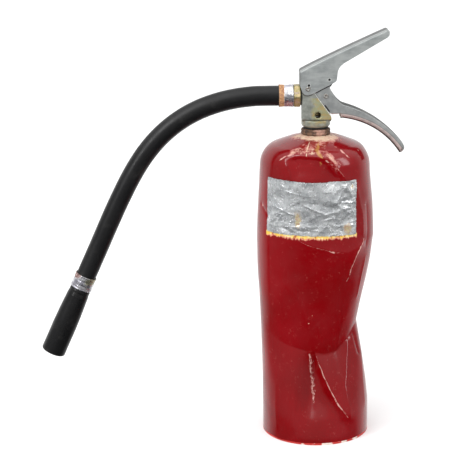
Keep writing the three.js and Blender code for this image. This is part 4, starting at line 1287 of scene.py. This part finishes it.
make_lever()
make_handle()
worn_pin = pin_look()
headed_pin("pivot_pin", "lever_pivot_pin", worn_pin, PIVOT_X, PIVOT_Z, 2.2, 2.9, 1.2, LEVER_HALF)
headed_pin("rivet_pin", "handle_rivet", worn_pin, RIVET_X, RIVET_Z, 2.0, 3.0, 1.4, HANDLE_HALF)


# ---------------------------------------------------------------- hose fittings
NIPPLE_START, NIPPLE_LENGTH, ACROSS_FLATS, NIPPLE_BORE, NIPPLE_TAIL = 1.6, 7.6, 25.2, 4.0, 6.0
SOCKET_REACH, SOCKET_SHANK = -4.0, 7.7
FERRULE_LENGTH, FERRULE_RADIUS, FERRULE_BORE = 17.9, 13.4, 12.3
FERRULE_START = NIPPLE_START + NIPPLE_LENGTH + 0.3
TAIL_END = NIPPLE_START + NIPPLE_LENGTH + FERRULE_LENGTH


def along_piece(made, origin, direction):
    """Distance along a piece's axis and angle round it from the front, at each vertex."""
    local = vertices_of(made) - np.array(origin, float)
    axis = np.array(direction, float) / np.linalg.norm(direction)
    up = np.cross([0, -1, 0], axis)
    return local @ axis, np.degrees(np.arctan2(local @ up, -local[:, 1]))


def make_nipple():
    """A chamfered hexagon with its flats at the top and bottom, and a plain tail inside the hose."""
    corner = ACROSS_FLATS / 2 / math.cos(math.pi / 6)
    start, end = NIPPLE_START, NIPPLE_START + NIPPLE_LENGTH
    chamfer = [(0.25 * k, corner - 1.6 + 0.42 * k) for k in range(1, 5)]
    steps = [(SOCKET_REACH, SOCKET_SHANK), (start + 0.2, SOCKET_SHANK), (start, 8.4), (start, corner - 2.0)]
    steps += [(start + along, limit) for along, limit in chamfer]
    steps += [(start + 1.5 + k * (NIPPLE_LENGTH - 3) / 6, corner + 0.1) for k in range(7)]
    steps += [(end - along, limit) for along, limit in reversed(chamfer)]
    steps += [(end, corner - 2.0), (end, 6.4), (end + 0.3, NIPPLE_TAIL), (TAIL_END - 1, NIPPLE_TAIL),
              (TAIL_END, 5.2), (TAIL_END, NIPPLE_BORE), (SOCKET_REACH, NIPPLE_BORE)]
    facets = 144
    turns = np.linspace(0, 2 * math.pi, facets, endpoint=False)
    # Corners at the front and back, blunted a little where the flats meet.
    folded = (turns + math.pi / 6) % (math.pi / 3) - math.pi / 6
    hexagon = np.minimum(ACROSS_FLATS / 2 / np.cos(math.pi / 6 - np.abs(folded)), corner - 0.25)
    rings = []
    for height, limit in steps:
        r = np.minimum(hexagon, limit)
        rings.append(np.stack([r * np.sin(turns), -r * np.cos(turns), np.full(facets, height)], -1))
    points = aimed(np.array(rings).transpose(1, 0, 2).reshape(-1, 3), OUTLET_FACE, (-1, 0, 0))
    piece("hex_nipple", points, grid(facets, len(steps)), nipple_look(), slot="brass", replaces="hose_nipple",
          sharp=22)


def nipple_look():
    look = Look("tarnished_nipple", (0.5, 0.4, 0.22), 0.42, metallic=0.65)
    warm = look.mix(look.patches(0.38, 0.6, 210, 5, 0.65), (0.52, 0.40, 0.22), (0.34, 0.30, 0.13))
    warm = look.over(warm, look.patches(0.52, 0.66, 150, 3), 0.6, (0.42, 0.31, 0.36))
    look.color(look.over(warm, look.patches(0.6, 0.7, 520, 5), 0.7, (0.09, 0.06, 0.03)))
    look.roughness(330, 4, 0.28, 0.5)
    look.bump(look.noise(500, 5), 0.15, 0.6)
    return look


def ferrule_look(name, rust_hues):
    look = Look(name, (0.66, 0.67, 0.7), 0.25, metallic=0.9)
    silver = look.mix(look.patches(0.35, 0.65, 160, 4), (0.46, 0.45, 0.52), (0.78, 0.78, 0.80))
    rust = look.ramp(look.plus(look.attribute("rust"), look.times(look.noise(260, 6, 0.7), 0.7)), 0.72, 0.95)
    silver = look.over(silver, rust, 0.92, look.mix(look.patches(0.4, 0.6, 420, 4), *rust_hues))
    tint = look.ramp(look.times(look.attribute("tint"), look.noise(200, 4)), 0.25, 0.5)
    silver = look.over(silver, tint, 0.8, (0.60, 0.58, 0.36))
    # Painted shade: dark rings where the sleeve meets the parts beside it.
    painted_shade = look.ramp(look.attribute("painted_shade"), 0.1, 0.9)
    look.color(look.over(silver, painted_shade, 0.8, (0.07, 0.055, 0.045)))
    look.set("Metallic", look.blend(look.most(rust, painted_shade), 0.9, 0.2))
    look.set("Roughness", look.blend(rust, look.ramp(look.noise(300, 4), 0.3, 0.7, 0.18, 0.34), 0.65))
    look.bump(look.noise(330, 4, 0.6), 0.25, 0.6)
    return look


def make_ferrule(name, node, start, end, origin, direction, seed, rust_hues):
    """A thin sleeve with rolled ends, wrinkled where it was crimped on to the hose.

    Returns it with each vertex's distance along its axis and angle round it from the front.
    """
    steps = np.linspace(0, 1, 60)
    rim = hump(steps, 0.05, 0.035) + hump(steps, 0.95, 0.035)
    crimp = hump(steps, 0.36, 0.07) + hump(steps, 0.68, 0.07)
    outside = zip(FERRULE_RADIUS - 0.28 + 0.28 * rim - 0.22 * crimp, start + (end - start) * steps)

    def wrinkles(angle, r, z):
        degrees = np.degrees(angle)
        soft = waves(degrees, z, seed, 9, 12) * 0.09 + waves(degrees, z, seed + 1, 20, 8) * 0.08
        return r + (r > FERRULE_BORE + 0.2) * soft, z

    points, faces = spun([*outside, (FERRULE_BORE, end), (FERRULE_BORE, start)], 180, wrinkles)
    made = piece(name, aimed(points, origin, direction), faces, ferrule_look(name + "_look", rust_hues),
                 slot="ferrule_aluminium", replaces=node, sharp=50)
    return made, *along_piece(made, origin, direction)


make_nipple()
first, along, _ = make_ferrule("outlet_ferrule", "hose_ferrule", FERRULE_START, TAIL_END, OUTLET_FACE,
                               (-1, 0, 0), 41, ((0.56, 0.29, 0.10), (0.32, 0.13, 0.04)))
s = (along - FERRULE_START) / (TAIL_END - FERRULE_START)
paint(first, "rust", ease(s, 0.50, 0.72) * 0.75)
paint(first, "tint", 0.7 * (1 - ease(s, 0.0, 0.35)))
# Painted shade at both ends of the sleeve, where it meets the nipple and the hose.
paint(first, "painted_shade", np.clip(hump(s, 0.0, 0.04) + hump(s, 1.0, 0.03), 0, 1))

second, along, turn = make_ferrule("nozzle_sleeve", "nozzle_ferrule", 0.3 - FERRULE_LENGTH, 0, HOSE_END,
                                   OUT_OF_HOSE, 47, ((0.42, 0.28, 0.25), (0.10, 0.025, 0.018)))
s = 1 + along / FERRULE_LENGTH
paint(second, "rust", (1 - ease(s, 0.05, 0.75)) * ease(-turn, -10, 60) * 0.9)
paint(second, "tint", (1 - ease(s, 0.35, 0.7)) * ease(turn, -25, 35))
# Painted shade at the sleeve's end on the hose and in a ring near its nozzle end.
paint(second, "painted_shade", np.clip(hump(s, 0.0, 0.04) + hump(s, 0.84, 0.025), 0, 1))

turned("nozzle_horn", [
    (6.3, 0.3, 0.2), (12.3, 0.3, 0.8), (12.7, 3, 1), (12.5, 5, 1), (13.2, 10, 3), (14.3, 33, 20),
    (14.8, 52, 20), (14.8, 88.0, 1), (14.0, 89.2, 0.8), (10.2, 89.2, 0.6), (9.5, 88.4, 0.4), (4, 34, 2),
    (4, 14.3, 0.3), (6.3, 14.3, 0.2),
], rubber_look("nozzle_rubber_look", (0.0062, 0.0062, 0.0066), 0.30, 700), HOSE_END, OUT_OF_HOSE,
    slot="nozzle_rubber", replaces="nozzle", sharp=45)


# ---------------------------------------------------------------- spring, and CAD pieces kept as they are
COIL_RADIUS, WIRE_RADIUS, COIL_TURNS, COIL_LOW, COIL_HIGH = 5.6, 0.7, 5, 371.1, 394.6


def spring_look():
    look = Look("spring_wire", (0.4, 0.41, 0.43), 0.3, metallic=1.0)
    look.color(look.mix(look.noise(300, 4), (0.50, 0.51, 0.53), (0.26, 0.24, 0.22)))
    look.bump(look.noise(1200, 3), 0.03, 0.5)
    return look


def make_spring():
    """A round-wire coil of fixed length."""
    along = np.linspace(0, 1, 48 * COIL_TURNS + 1)
    turn = 2 * math.pi * COIL_TURNS * along
    out = np.stack([np.cos(turn), np.sin(turn), 0 * turn], -1)
    centre = COIL_RADIUS * out + np.outer(COIL_LOW + (COIL_HIGH - COIL_LOW) * along, (0, 0, 1))
    sides = 14
    section = np.linspace(0, 2 * math.pi, sides, endpoint=False)[:, None]
    rings = centre[:, None] + WIRE_RADIUS * (np.cos(section) * out[:, None] + np.sin(section) * (0, 0, 1))
    spring = piece("spring_coil", rings.reshape(-1, 3), skin(len(rings), sides), spring_look(),
                   body=None, slot="spring_steel", replaces="valve_spring", sharp=50)
    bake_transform(spring)


def tube_look():
    look = Look("tube_plastic_look", (0.72, 0.71, 0.66), 0.5)
    look.color(look.mix(look.noise(60, 4), (0.76, 0.75, 0.70), (0.60, 0.57, 0.48)))
    look.bump(look.noise(500, 3), 0.05, 0.5)
    return look


make_spring()
hidden_seal = plain_rubber("hidden_seal_look")
kept_looks = {
    "tube_adapter": brass, "siphon_tube": tube_look(), "stem_seal": hidden_seal, "stem_o_ring": hidden_seal,
    "nipple_washer": hidden_seal, "nozzle_insert": brass,
}
for node, look in kept_looks.items():
    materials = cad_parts[node].data.materials
    materials.clear()
    materials.append(look.material)
